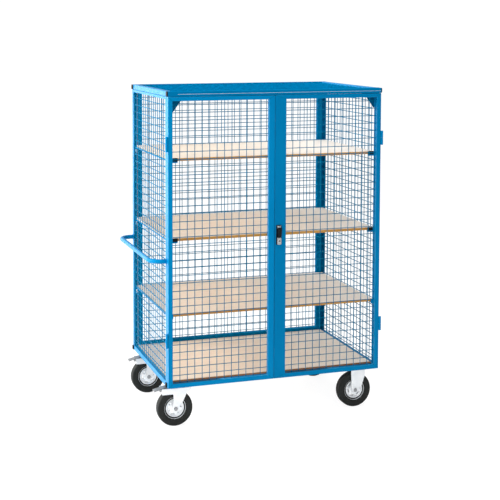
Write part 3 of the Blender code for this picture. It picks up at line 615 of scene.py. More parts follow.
# ------------------------------------------------------------------ base frame
def base_frame():
    g = Geo()
    w = 0.025
    g.ring(-X1, X1, Y_POST, YB, Z_BASE, Z_RAIL, w, w, w, w, 0.0030, "XY")
    for sx in (-1, 1):
        for y, ny in ((Y_POST, 1), (YB, -1)):
            g.bead((sx * (X1 - 0.002), y + ny * 0.002, Z_RAIL), (sx * (X1 - w + 0.002), y + ny * (w - 0.002), Z_RAIL), (0, 0, 1))
    # inner ledge under the deck
    for sx in (-1, 1):
        a, b = sorted((sx * (X1 - w + 0.001), sx * (X1 - w - 0.018)))
        g.prism(rr(a, b, Z_BASE + 0.010, Z_BASE + 0.013, 0.0008, 1), "Y", Y_POST + w - 0.001, YB - w + 0.001)
    for y, k in ((Y_POST + w, 1), (YB - w, -1)):
        a, b = sorted((y - k * 0.001, y + k * 0.018))
        g.prism(rr(a, b, Z_BASE + 0.0101, Z_BASE + 0.0131, 0.0008, 1), "X", -X1 + w - 0.001, X1 - w + 0.001)
    # folded cross channels
    t = 0.003
    for c, half, low in ((-CX, 0.060, 0.0), (CX, 0.060, 0.0), (0.0, 0.020, 0.002)):
        z0, z1 = Z_BASE + low, Z_BASE + 0.0132
        prof = fillet([(c - half, z0), (c - half, z1), (c + half, z1), (c + half, z0), (c + half - t, z0),
                       (c + half - t, z1 - t), (c - half + t, z1 - t), (c - half + t, z0)],
                      [0, 0.004, 0.004, 0, 0, 0.002, 0.002, 0], 3)
        g.prism(prof, "Y", Y_POST + 0.006, YB - 0.006)
        for sy in (-1, 1):
            yy = (Y_POST + w) if sy < 0 else (YB - w)
            g.bead((c - half * 0.8, yy, z1 - 0.001), (c + half * 0.8, yy, z1 - 0.001), (0, 0, 1))
    # welded pads the casters bolt to
    for sx in (-1, 1):
        for sy in (-1, 1):
            cx, cy = sx * CX, CY[sy]
            g.prism(rr(cx - 0.0555, cx + 0.0555, cy - 0.047, cy + 0.047, 0.006, 3), "Z", Z_BASE, Z_BASE + 0.0050)
            g.prism(rr(cx - 0.0560, cx + 0.0560, cy - 0.030, cy + 0.030, 0.004, 3), "Z", Z_BASE + 0.0040, Z_BASE + 0.0110)
            for ex in (-1, 1):
                g.bead((cx + ex * 0.0555, cy - 0.040, Z_BASE + 0.001), (cx + ex * 0.0555, cy - 0.012, Z_BASE + 0.001), (ex, 0, 0))
                g.bead((cx + ex * 0.0555, cy + 0.012, Z_BASE + 0.001), (cx + ex * 0.0555, cy + 0.040, Z_BASE + 0.001), (ex, 0, 0))
    piece("base_frame_welded", g, ["blue"], ["base_frame"])


lo, hi = cbox("caster_front_right_fork")
CX = (lo.x + hi.x) / 2
CY = {}
for k_, n_ in ((-1, "wheel_front_right_tyre"), (1, "wheel_rear_right_tyre")):
    lo, hi = cbox(n_)
    CY[k_] = (lo.y + hi.y) / 2
base_frame()


# ------------------------------------------------------------------ boards
def board(node):
    lo, hi = cbox(node)
    g = Geo()
    r, n = 0.0013, 2
    def pick(a, b):
        flat = abs(a[1] - b[1]) < 1e-7 and abs(a[0] - b[0]) > 0.01
        return 0 if flat else 1
    g.prism(rr(lo.y, hi.y, lo.z, hi.z, r, n), "X", lo.x, hi.x, mat=3, side_mat=pick)
    if node == "deck_board":
        # painted shade: a dark wood strip over the frame's front rail, standing in for the deck's front edge in shadow
        g.prism(rr(Y_POST + 0.0008, lo.y + 0.0006, Z_RAIL + 0.0001, hi.z + 0.0007, 0.0006, 2), "X", -X1 + 0.0310, X1 - 0.0310, mat=2)
    piece(node + "_beech", g, ["wood", "edge", "lip", "end"], [node], bevel=0.0009)


for n_ in ("deck_board", "shelf_board_1", "shelf_board_2", "shelf_board_3"):
    board(n_)


# ------------------------------------------------------------------ end frames and their mesh
def end_frame(side, name):
    lo, hi = cbox(name + "_end_frame")
    z0, z1 = lo.z, hi.z
    y0, y1 = lo.y, hi.y
    t, leg = 0.003, 0.030
    g = Geo()
    reach = X1 - cbox("rear_frame")[1].x - 0.0002
    for yc, k, wide in ((y0, 1, leg), (y1, -1, max(leg, reach))):
        prof = [(X1, yc), (X1 - wide, yc), (X1 - wide, yc + k * t), (X1 - t, yc + k * t), (X1 - t, yc + k * leg), (X1, yc + k * leg)]
        g.prism([(side * x, y) for x, y in fillet(prof, [0.0028, 0.0009, 0.0009, 0.0022, 0.0009, 0.0009], 4)], "Z", z0, z1)
        g.bead((side * X1, yc + k * 0.003, z0), (side * X1, yc + k * (leg - 0.003), z0), (side, 0, 0))
        g.bead((side * (X1 - 0.004), yc, z0), (side * (X1 - leg + 0.002), yc, z0), (0, k, 0))
    xo, xi = X1 - 0.0002, X1 - t + 0.0002
    top = [(xo, z1 - 0.0002), (X1 - 0.025, z1 - 0.0002), (X1 - 0.025, z1 - t), (xi, z1 - t), (xi, z1 - 0.015), (xo, z1 - 0.015)]
    g.prism([(side * x, z) for x, z in fillet(top, [0.0026, 0.0009, 0.0009, 0.002, 0.0009, 0.0009], 4)], "Y", y0 + t + 0.0004, y1 - t - 0.0004)
    piece(name + "_end_frame_angle", g, ["blue"], [name + "_end_frame"])
    # welded wire panel
    lo, hi = cbox("mesh_" + name)
    out = (hi.x if side > 0 else -lo.x) - WIRE
    inn = out - 1.72 * WIRE
    g = Geo()
    zs = [z for z in (1.7679 - PITCH * k for k in range(-1, 38)) if lo.z + 0.006 < z < hi.z - 0.006]
    zs.append(lo.z + 0.0140)
    ys = [y for y in (0.0115 + 0.04270 * k for k in range(-9, 10)) if lo.y + 0.008 < y < hi.y - 0.008]
    for y in ys:
        g.wire((side * out, y, lo.z), (side * out, y, hi.z), r=WIRE_END)
    for z in zs:
        g.wire((side * inn, lo.y, z), (side * inn, hi.y, z), r=WIRE_END)
    # the wires take darkened copies of the blue, the paler one on the left side: painted shade
    piece("mesh_%s_welded_wire" % name, g, ["wire_lit" if side < 0 else "wire"], ["mesh_" + name], bevel=0)
    return zs


SIDE_ZS = end_frame(-1, "left")
end_frame(1, "right")


# ------------------------------------------------------------------ rear frame and mesh
def rear():
    lo, hi = cbox("rear_frame")
    g = Geo()
    w = 0.025
    low = cbox("mesh_rear")[0].z - lo.z - 0.0003
    g.ring(lo.x, hi.x, lo.z, hi.z, lo.y, hi.y, w, w, low, w, 0.0028, "XZ")
    for sx in (-1, 1):
        for z, wz, k in ((lo.z, low, 1), (hi.z, w, -1)):
            x = hi.x if sx > 0 else lo.x
            for y, ny in ((lo.y, -1), (hi.y, 1)):
                g.bead((x - sx * 0.002, y, z + k * 0.002), (x - sx * (w - 0.002), y, z + k * (wz - 0.002)), (0, ny, 0))
    # screws that hold the rear frame to the posts
    for sx in (-1, 1):
        x = (hi.x if sx > 0 else lo.x) - sx * 0.0125
        for z in (0.42, 0.86, 1.27, 1.70):
            g.lathe([(0, 0.0005), (0.0052, 0.0005), (0.0050, -0.0012), (0.0034, -0.0024), (0.0018, -0.0028), (0.0016, -0.0014), (0, -0.0014)],
                    (x, lo.y, z), "Y", 20, closed=False)
    # the rear frame takes the darker 'roof' copy of the blue: painted shade
    piece("rear_frame_tube", g, ["roof"], ["rear_frame"], bevel=0)
    lo, hi = cbox("mesh_rear")
    yo, yi = hi.y - WIRE - 0.0005, hi.y - WIRE - 0.0005 - 1.72 * WIRE
    g = Geo()
    n = round((hi.x - lo.x) / PITCH)
    for k in range(1, n):
        x = lo.x + (hi.x - lo.x) * k / n
        g.wire((x, yo, lo.z - 0.001), (x, yo, hi.z + 0.001))
    for z in (1.7679 - PITCH * k for k in range(-1, 38)):
        if lo.z + 0.006 < z < hi.z - 0.006:
            g.wire((lo.x - 0.001, yi, z), (hi.x + 0.001, yi, z))
    # the rear wires take the darkened 'wire' copy of the blue: painted shade
    piece("mesh_rear_welded_wire", g, ["wire"], ["mesh_rear"], bevel=0)


rear()


# ------------------------------------------------------------------ roof
def roof():
    lo, hi = cbox("roof_frame")
    zt, ze = hi.z, Z_EAVE
    g = Geo()
    for y0, y1 in ((YF, YF + 0.030), (YB - 0.030, YB)):
        outer = rr(y0, y1, ze, zt, 0.0032, 3)
        inner = rr(y0 + 0.0022, y1 - 0.0022, ze + 0.0022, zt - 0.0022, 0.0012, 3)
        # the front and rear roof tubes take the darker 'roof' copy of the blue: painted shade
        g.prism(outer, "X", -X1, X1, hole=inner, mat=2, side_mat=lambda a, b: 2)
    for side in (-1, 1):
        a, b = sorted((side * X1, side * (X1 - 0.030)))
        g.prism(rr(a, b, ze + 0.0002, zt - 0.0002, 0.0032, 3), "Y", YF + 0.0290, YB - 0.0290)
        for y, k in ((YF + 0.030, 1), (YB - 0.030, -1)):
            g.bead((side * (X1 - 0.002), y, zt), (side * (X1 - 0.028), y, zt), (0, 0, 1))
            g.bead((side * X1, y, ze + 0.003), (side * X1, y, zt - 0.003), (side, 0, 0))
            g.bead((side * (X1 - 0.030), y, ze + 0.003), (side * (X1 - 0.030), y, zt - 0.003), (-side, 0, 0))
    # painted highlight: a thin pale zinc strip along the tube's front, standing in for light caught along its edge
    g.prism(rr(YF - 0.0006, YF + 0.0008, ze + 0.0122, ze + 0.0136, 0.0005, 2), "X", -X1 + 0.055, X1 - 0.002, mat=3, side_mat=lambda a, b: 3)
    for side in (-1, 1):
        # gusset plates behind the doors' top corners, in the dark 'shade' copy of the blue: painted shade, as they sit
        # in shadow
        xa, xc = side * (X1 - 0.0303), side * 0.528
        tri = fillet([(xa, ze - 0.090), (xc, ze), (xc, ze + 0.008), (xa, ze + 0.008)], [0.003, 0.003, 0, 0], 3)
        g.prism(tri, "Y", YF + 0.0275, YF + 0.0305, mat=1)
        g.bead((xa - side * 0.002, YF + 0.0305, ze), (xc + side * 0.004, YF + 0.0305, ze), (0, 1, 0))
    piece("roof_frame_tube", g, ["blue", "shade", "roof", "zinc_painted_highlight"], ["roof_frame"])
    lo, hi = cbox("mesh_roof")
    zu = hi.z - WIRE
    zl = zu - 1.72 * WIRE
    g = Geo()
    nx, ny = round((hi.x - lo.x) / PITCH), round((hi.y - lo.y) / PITCH)
    for k in range(1, nx):
        x = lo.x + (hi.x - lo.x) * k / nx
        g.wire((x, lo.y - 0.002, zu), (x, hi.y + 0.002, zu))
    for k in range(1, ny):
        y = lo.y + (hi.y - lo.y) * k / ny
        g.wire((lo.x - 0.002, y, zl), (hi.x + 0.002, y, zl))
    # the roof wires take a darker copy of the blue: painted shade
    piece("mesh_roof_welded_wire", g, ["wire_roof"], ["mesh_roof"], bevel=0)


Z_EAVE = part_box("left_end_frame")[1].z + 0.0003
roof()


# ------------------------------------------------------------------ tube end caps
def cap(name, box_lo, box_hi, side, nodes):
    g = Geo()
    x_in = box_lo.x if side > 0 else box_hi.x
    x_out = box_hi.x if side > 0 else box_lo.x
    y0, y1, z0, z1 = box_lo.y, box_hi.y, box_lo.z, box_hi.z
    span = x_out - x_in
    rows, verts = [], []
    for inset, t, r in ((0.0, 0.0, 0.0030), (0.0, 0.35, 0.0030), (0.0006, 0.66, 0.0034), (0.0022, 0.90, 0.0042), (0.0048, 1.0, 0.0040), (0.0095, 1.0, 0.0020)):
        loop = rr(y0 + inset, y1 - inset, z0 + inset, z1 - inset, r, 4)
        rows.append(len(verts))
        verts += [(x_in + span * t, y, z) for y, z in loop]
    n = len(loop)
    faces = [tuple(range(n))[::-1], tuple(rows[-1] + i for i in range(n))]
    for a, b in zip(rows, rows[1:]):
        faces += [(a + i, a + (i + 1) % n, b + (i + 1) % n, b + i) for i in range(n)]
    g.add(verts, faces)
    # spigot that grips the tube
    q = 0.0028
    a, b = sorted((x_in - side * 0.012, x_in + side * 0.0005))
    g.prism(rr(y0 + q, y1 - q, z0 + q, z1 - q, 0.0016, 3), "X", a, b)
    piece(name, g, ["plastic"], nodes, body="cart", bevel=0.0004)


for n_ in ("cap_roof_front_left", "cap_roof_rear_left", "cap_roof_front_right", "cap_base_front_left", "cap_base_rear_left"):
    lo, hi = cbox(n_)
    cap(n_ + "_moulded", lo, hi, -1 if "left" in n_ else 1, [n_])
lo, hi = cbox("cap_roof_rear_left")
cap("cap_roof_rear_right_moulded", Vector((-hi.x, lo.y, lo.z)), Vector((-lo.x, hi.y, hi.z)), 1, [])


# ------------------------------------------------------------------ shelf supports
def support(k):
    lo, hi = cbox("shelf_support_%d" % k)
    blo, bhi = cbox("shelf_board_%d" % k)
    top, low = blo.z + 0.015, blo.z - 0.0003
    y0, y1 = lo.y, hi.y
    e = bhi.x + 0.0003
    t = 0.0030
    x2 = hi.x
    g = Geo()
    for side in (-1, 1):
        # folded end rail: a web beside the board and a ledge under it
        prof = fillet([(side * x, z) for x, z in ((e, low + 0.0045), (e + t, low + 0.0045), (e + t, low - t), (e - 0.020, low - t), (e - 0.020, low), (e, low))],
                      [0.0009, 0.0009, 0.0024, 0.0009, 0.0009, 0.0010], 3)
        g.prism(prof, "Y", y0, y1)
        # stepped plates that bolt the rail to the posts
        xb = 0.5635 if k < 3 else 0.5890
        tab = fillet([(side * x, z) for x, z in ((xb, top - 0.0005), (x2, top - 0.0005), (x2, top - 0.045), (0.598, top - 0.045), (0.598, top - 0.0235), (xb, top - 0.0235))],
                     [0.002, 0.001, 0.003, 0.003, 0.004, 0.002], 3)
        if k < 3:
            # painted shade: a black plastic block over the plate's inner end, where the bracket lies in shadow
            a, b = sorted((side * 0.5630, side * 0.5975))
            g.prism(rr(a, b, top - 0.0165, top + 0.0028, 0.0022, 3), "Y", y0 + 0.0002, y0 + 0.0062, mat=2)
        for yc, ny in ((y0 + 0.0020, 1), (y1 - 0.0020, -1)):
            g.prism(tab, "Y", yc - 0.0015, yc + 0.0015)
            for dx, dz in ((0.0085, 0.030), (0.0085, 0.040)):
                g.hexagon((side * (x2 - dx), yc + ny * 0.0015, top - dz), "Y", 0.0080, 0.0036, ny, 1, turn=0.3 + 20 * dz)
            g.bead((side * (e - 0.002), yc + ny * 0.0016, low - t - 0.0005), (side * (e - 0.018), yc + ny * 0.0016, low - t - 0.0005), (0, ny, 0), width=0.003)
    # rear rail
    yr = y1
    prof = fillet([(yr - t, top), (yr, top), (yr, low - 0.0030), (yr - 0.022, low - 0.0030), (yr - 0.022, low - 0.0005), (yr - t, low - 0.0005)],
                  [0.0008, 0.0008, 0.0026, 0.0008, 0.0008, 0.001], 3)
    g.prism(prof, "X", -e - 0.001, e + 0.001)
    piece("shelf_support_%d_folded" % k, g, ["blue", "zinc", "plastic"], ["shelf_support_%d" % k], bevel=0.0005)


for k_ in (1, 2, 3):
    support(k_)


# ------------------------------------------------------------------ push bow
def bow():
    lo, hi = cbox("push_handle")
    r = (hi.z - lo.z) / 2
    z = (hi.z + lo.z) / 2
    x_out, x_in = lo.x + r, hi.x
    ya, yb = lo.y + r, hi.y - r
    bend, n = 0.065, 18
    pts = [(x_in, ya, z), ((x_in + x_out + bend) / 2, ya, z)]
    for k in range(n + 1):
        a = math.pi / 2 * k / n
        pts.append((x_out + bend - bend * math.sin(a), ya + bend - bend * math.cos(a), z))
    for k in range(1, 6):
        pts.append((x_out, ya + bend + (yb - ya - 2 * bend) * k / 6, z))
    for k in range(n + 1):
        a = math.pi / 2 * k / n
        pts.append((x_out + bend - bend * math.cos(a), yb - bend + bend * math.sin(a), z))
    pts += [((x_in + x_out + bend) / 2, yb, z), (x_in, yb, z)]
    g = Geo()
    g.sweep(pts, r, 36)
    for y in (ya, yb):  # weld collars on the posts
        prof = []
        for i in range(9):
            a = 2 * math.pi * i / 9
            prof.append((r + 0.0010 + 0.0022 * math.cos(a), -0.0014 + 0.0020 * math.sin(a)))
        g.lathe(prof, (x_in, y, z), "X", 48)
    piece("push_bow_tube", g, ["blue"], ["push_handle"], bevel=0)


bow()


# ------------------------------------------------------------------ doors
def door(name, side):
    lo, hi = cbox("door_%s_frame" % name)
    mlo, mhi = cbox("door_%s_mesh" % name)
    wl = (mlo.x - lo.x)
    wr = (hi.x - mhi.x)
    wb, wt = mlo.z - lo.z, hi.z - mhi.z
    g = Geo()
    g.ring(lo.x, hi.x, lo.z, hi.z, lo.y, hi.y, wl, wr, wb, wt, 0.0026, "XZ", wall=0.0020, n=3)
    mesh = mesh_of("door", g)
    cuts = []
    if name == "right":
        rlo, rhi = cbox("rod_upper")
        c = Geo()
        for z in (lo.z, hi.z):
            c.prism(rr(rlo.x - 0.0007, rhi.x + 0.0007, rlo.y - 0.0007, rhi.y + 0.0007, 0.0010, 2), "Z", z - 0.006, z + 0.006)
        for n_, rad in (("lock_spindle", 0.0052), ("key_plug", 0.0069)):
            a, b = cbox(n_)
            cx, cz = (a.x + b.x) / 2, (a.z + b.z) / 2
            c.lathe([(0, -0.009), (rad, -0.009), (rad, 0.009), (0, 0.009)], (cx, lo.y, cz), "Y", 28, closed=False)
        cuts = [c]
        mesh = boolean(mesh, cuts)
    bm = bmesh.new()
    bm.from_mesh(mesh)
    bm.to_mesh(mesh)
    bm.free()
    # the right door's frame takes the darker 'right' copy of the blue: painted shade
    piece("door_%s_tube_frame" % name, g, ["right" if side > 0 else "blue"], ["door_%s_frame" % name], bevel=0, mesh=mesh)
    # beads over the mitres, front and back
    g = Geo()
    for x, wx, kx in ((lo.x, wl, 1), (hi.x, wr, -1)):
        for z, wz, kz in ((lo.z, wb, 1), (hi.z, wt, -1)):
            for y, ny in ((hi.y, 1),):
                g.bead((x + kx * 0.003, y, z + kz * 0.003 * wz / wx), (x + kx * (wx - 0.002), y, z + kz * (wz - 0.002)), (0, ny, 0), high=0.0008)
            g.bead((x + kx * 0.003, lo.y + 0.0001, z + kz * 0.003 * wz / wx), (x + kx * (wx - 0.002), lo.y + 0.0001, z + kz * (wz - 0.002)),
                   (0, -1, 0), width=0.0030, high=0.0003)
    # mesh: vertical wires in front, horizontal ones behind
    yv = mlo.y + WIRE
    yh = yv + 1.72 * WIRE
    n = 13
    for k in range(1, n):
        x = mlo.x + (mhi.x - mlo.x) * k / n
        g.wire((x, yv, mlo.z - 0.0015), (x, yv, mhi.z + 0.0015))
    for k in range(36):
        z = 1.7727 - 0.042056 * k
        if mlo.z + 0.008 < z < mhi.z - 0.008:
            g.wire((mlo.x - 0.0015, yh, z), (mhi.x + 0.0015, yh, z))
    # the door wires take the darkened 'wire' copy of the blue: painted shade
    piece("door_%s_welded_wire" % name, g, ["wire"], ["door_%s_mesh" % name], bevel=0)


door("left", -1)
door("right", 1)


# ------------------------------------------------------------------ hinges
def hinge(side, sname, zname):
    flo, fhi = cbox("hinge_%s_%s_frame_leaf" % (sname, zname))
    dlo, dhi = cbox("hinge_%s_%s_door_leaf" % (sname, zname))
    r = 0.007
    x = (dhi.x - r) if side > 0 else (dlo.x + r)
    y = dlo.y + r
    z0, z1 = flo.z, dlo.z  # lower barrel
    g = Geo()
    g.lathe([(0, z0 + 0.0003), (0.0030, z0 + 0.0003), (r - 0.0014, z0), (r, z0 + 0.0014), (r, z1 - 0.0020), (r - 0.0006, z1 - 0.0011), (0.0040, z1 - 0.0010),
             (0.0040, dhi.z - 0.014), (0.0030, dhi.z - 0.0130), (0, dhi.z - 0.0130)],
            (x, y, 0), "Z", 32, closed=False)
    a, b = sorted((side * (X1 + 0.0003), side * (X1 + 0.0030)))
    g.prism(fillet([(y, z0 + 0.001), (fhi.y, z0 + 0.001), (fhi.y, z1 - 0.0012), (y, z1 - 0.0012)], [0, 0.006, 0.006, 0], 4), "X", a, b)
    g.bead((side * (X1 + 0.0016), fhi.y, z0 + 0.004), (side * (X1 + 0.0016), fhi.y, z1 - 0.004), (side, 0, 0), width=0.0040, high=0.0014)
    piece("hinge_%s_%s_frame_half" % (sname, zname), g, ["blue"], ["hinge_%s_%s_frame_leaf" % (sname, zname)], bevel=0.0004)
    g = Geo()
    z2, z3 = dlo.z, dhi.z
    g.lathe([(0.0043, z2), (r - 0.0008, z2), (r, z2 + 0.0009), (r, z3 - 0.0016), (r - 0.0010, z3 - 0.0004), (r - 0.0030, z3), (0.0012, z3), (0, z3),
             (0, z3 - 0.0115), (0.0043, z3 - 0.0115)],
            (x, y, 0), "Z", 32, closed=True)
    g.prism(fillet([(y, z2 + 0.0004), (dhi.y, z2 + 0.0004), (dhi.y, z3 - 0.001), (y, z3 - 0.001)], [0, 0.006, 0.006, 0], 4), "X", a, b)
    g.bead((side * (X1 + 0.0016), dhi.y, z2 + 0.004), (side * (X1 + 0.0016), dhi.y, z3 - 0.004), (side, 0, 0), width=0.0036, high=0.0013)
    piece("hinge_%s_%s_door_half" % (sname, zname), g, ["blue"], ["hinge_%s_%s_door_leaf" % (sname, zname)], bevel=0.0004)


for side_, sname_ in ((-1, "left"), (1, "right")):
    for zname_ in ("upper", "lower"):
        hinge(side_, sname_, zname_)


# ------------------------------------------------------------------ lock
def lock():
    lo, hi = cbox("lock_plate")
    slo, shi = cbox("lock_spindle")
    klo, khi = cbox("key_plug")
    vlo, vhi = cbox("lock_lever")
    cx = (lo.x + hi.x) / 2
    spin, key = (slo.z + shi.z) / 2, (klo.z + khi.z) / 2
    y_back, y_plate = hi.y, YF - 0.0045
    y_house = lo.y
    g = Geo()
    # escutcheon: stepped plate with a rounded face, holes for spindle and plug
    layers = ((0.0, y_back, 0.0045), (0.0, y_plate + 0.0012, 0.0045), (0.0011, y_plate, 0.0040))
    verts, rows = [], []
    for inset, y, r in layers:
        loop = rr(lo.x + inset, hi.x - inset, lo.z + inset, hi.z - inset, r, 5)
        rows.append(len(verts))
        verts += [(x, y, z) for x, z in loop]
    n = len(loop)
    faces = [tuple(range(n))[::-1], tuple(rows[-1] + i for i in range(n))]
    for a, b in zip(rows, rows[1:]):
        faces += [(a + i, a + (i + 1) % n, b + (i + 1) % n, b + i) for i in range(n)]
    g.add(verts, faces)
    # key housing
    house = Geo()
    verts, rows = [], []
    zt = key + 0.019
    for inset, y, r in ((0.0, y_plate + 0.0008, 0.0050), (0.0002, y_house + 0.0022, 0.0052), (0.0010, y_house + 0.0006, 0.0054), (0.0026, y_house, 0.0050)):
        loop = rr(lo.x + 0.0035 + inset, hi.x - 0.0035 - inset, lo.z + 0.002 + inset, zt - inset, r, 5)
        rows.append(len(verts))
        verts += [(x, y, z) for x, z in loop]
    n = len(loop)
    faces = [tuple(range(n))[::-1], tuple(rows[-1] + i for i in range(n))]
    for a, b in zip(rows, rows[1:]):
        faces += [(a + i, a + (i + 1) % n, b + (i + 1) % n, b + i) for i in range(n)]
    house.add(verts, faces)
    c = Geo()
    c.lathe([(0, -0.03), (0.0050, -0.03), (0.0050, 0.03), (0, 0.03)], (cx, YF, spin), "Y", 28, closed=False)
    c2 = Geo()
    c2.lathe([(0, -0.03), (0.0067, -0.03), (0.0067, 0.03), (0, 0.03)], (cx, YF, key), "Y", 28, closed=False)
    mesh = boolean(mesh_of("plate", g), [c, c2])
    piece("lock_escutcheon", g, ["plastic"], ["lock_plate"], bevel=0, mesh=mesh)
    mesh = boolean(mesh_of("house", house), [c2])
    piece("lock_key_housing", house, ["cast"], [], body=BODY["lock_plate"], bevel=0, mesh=mesh)
    g = Geo()  # fixing screws of the escutcheon
    for z in (hi.z - 0.0060,):
        for dx in (-0.0095, 0.0095):
            g.lathe([(0, 0.0006), (0.0024, 0.0006), (0.0024, -0.0004), (0.0017, -0.0012), (0.0007, -0.0013), (0.0006, -0.0004), (0, -0.0004)],
                    (cx + dx, y_plate, z), "Y", 18, closed=False)
    g.lathe([(0.0068, -0.0002), (0.0084, -0.0002), (0.0082, -0.0009), (0.0072, -0.0011), (0.0068, -0.0008)], (cx, y_house, key), "Y", 28)
    piece("lock_screws_and_rosette", g, ["silver"], [], body=BODY["lock_plate"], bevel=0)
    # spindle: boss, shaft, cam and the tongue the lever hinges on
    g = Geo()
    g.lathe([(0, -0.0085), (0.0082, -0.0085), (0.0094, -0.0079), (0.0100, -0.0068), (0.0100, -0.0048), (0.0045, -0.0048), (0.0045, 0.0080), (0.0128, 0.0080),
             (0.0130, 0.0084), (0.0130, 0.0108), (0.0126, 0.0110), (0, 0.0110)], (cx, YF, spin), "Y", 32, closed=False)
    tongue = fillet([(YF - 0.0080, spin - 0.0035), (YF - 0.0080, spin + 0.0035), (YF - 0.0160, spin + 0.0035), (YF - 0.0160, spin - 0.0035)],
                    [0, 0, 0.0030, 0.0030], 5)
    g.prism(tongue, "X", cx - 0.0034, cx + 0.0034)
    piece("lock_spindle_turned", g, ["silver"], ["lock_spindle"], bevel=0.0003)
    # lever: a tapered, crowned grip with a slot for the tongue and a pin through it
    y0, y1 = vlo.y, vhi.y
    z0, z1 = vlo.z, vhi.z
    cz = (z0 + z1) / 2
    rows, verts = [], []
    for inset, y, r, dz in ((0.0010, y1, 0.0050, 0), (0.0, y1 - 0.0012, 0.0056, 0), (0.0, y0 + 0.0060, 0.0058, 0), (0.0012, y0 + 0.0024, 0.0058, 0),
                            (0.0034, y0 + 0.0006, 0.0050, 0), (0.0062, y0, 0.0036, 0)):
        loop = rr(vlo.x + inset, vhi.x - inset, z0 + inset, z1 - inset * 0.6, r, 5)
        rows.append(len(verts))
        for x, z in loop:
            # the grip narrows a little towards its lower end
            k = 1 - 0.14 * max(0.0, (cz + 0.006 - z)) / (cz - z0)
            verts.append((cx + (x - cx) * k, y, z))
    n = len(loop)
    faces = [tuple(range(n))[::-1], tuple(rows[-1] + i for i in range(n))]
    for a, b in zip(rows, rows[1:]):
        faces += [(a + i, a + (i + 1) % n, b + (i + 1) % n, b + i) for i in range(n)]
    g = Geo()
    g.add(verts, faces)
    c = Geo()
    c.prism(rr(cx - 0.0040, cx + 0.0040, spin - 0.0095, spin + 0.0150, 0.0010, 2), "Y", YF - 0.0190, YF - 0.0050)
    mesh = boolean(mesh_of("lever", g), [c])
    piece("lock_lever_grip", g, ["plastic"], ["lock_lever"], bevel=0, mesh=mesh)
    g = Geo()
    g.lathe([(0, -0.0118), (0.0017, -0.0118), (0.0020, -0.0114), (0.0020, -0.0042), (0, -0.0042)], (cx, YF - 0.0145, spin), "X", 16, closed=False)
    g.lathe([(0, 0.0042), (0.0020, 0.0042), (0.0020, 0.0114), (0.0017, 0.0118), (0, 0.0118)], (cx, YF - 0.0145, spin), "X", 16, closed=False)
    piece("lock_lever_pin", g, ["zinc"], [], body=BODY["lock_lever"], bevel=0)
    # key plug with its slot, in the dark 'plug' silver: painted shade for its recess
    g = Geo()
    yk0, yk1 = klo.y, khi.y
    g.lathe([(0, yk0 + 0.0002), (0.0010, yk0 + 0.0002), (0.0046, yk0), (0.0057, yk0 + 0.0003), (0.0062, yk0 + 0.0010), (0.0062, yk1 - 0.0003), (0.0059, yk1), (0, yk1)],
            (cx, 0, key), "Y", 32, closed=False)
    c = Geo()
    c.prism([(cx - 0.0006, key - 0.0040), (cx + 0.0006, key - 0.0040), (cx + 0.0006, key - 0.0008), (cx + 0.0011, key - 0.0008), (cx + 0.0011, key + 0.0006),
             (cx + 0.0006, key + 0.0006), (cx + 0.0006, key + 0.0040), (cx - 0.0006, key + 0.0040)], "Y", yk0 - 0.002, yk0 + 0.004)
    mesh = boolean(mesh_of("plug", g), [c])
    piece("lock_key_plug_turned", g, ["plug"], ["key_plug"], bevel=0, mesh=mesh)
    # locking rods: flat bars with chamfered tips
    for n_, tip in (("rod_upper", 1), ("rod_lower", -1)):
        rlo, rhi = cbox(n_)
        za, zb = (rlo.z, rhi.z - 0.0004) if tip > 0 else (rhi.z, rlo.z + 0.0004)
        k = 0.0030 * tip
        out = fillet([(rlo.x, za), (rhi.x, za), (rhi.x, zb - k * 1.6), (rhi.x - 0.0030, zb), (rlo.x + 0.0030, zb), (rlo.x, zb - k * 1.6)], 0.0008, 3)
        g = Geo()
        g.prism(out, "Y", rlo.y, rhi.y)
        piece(n_ + "_flat_bar", g, ["zinc"], [n_], bevel=0.0005)


lock()


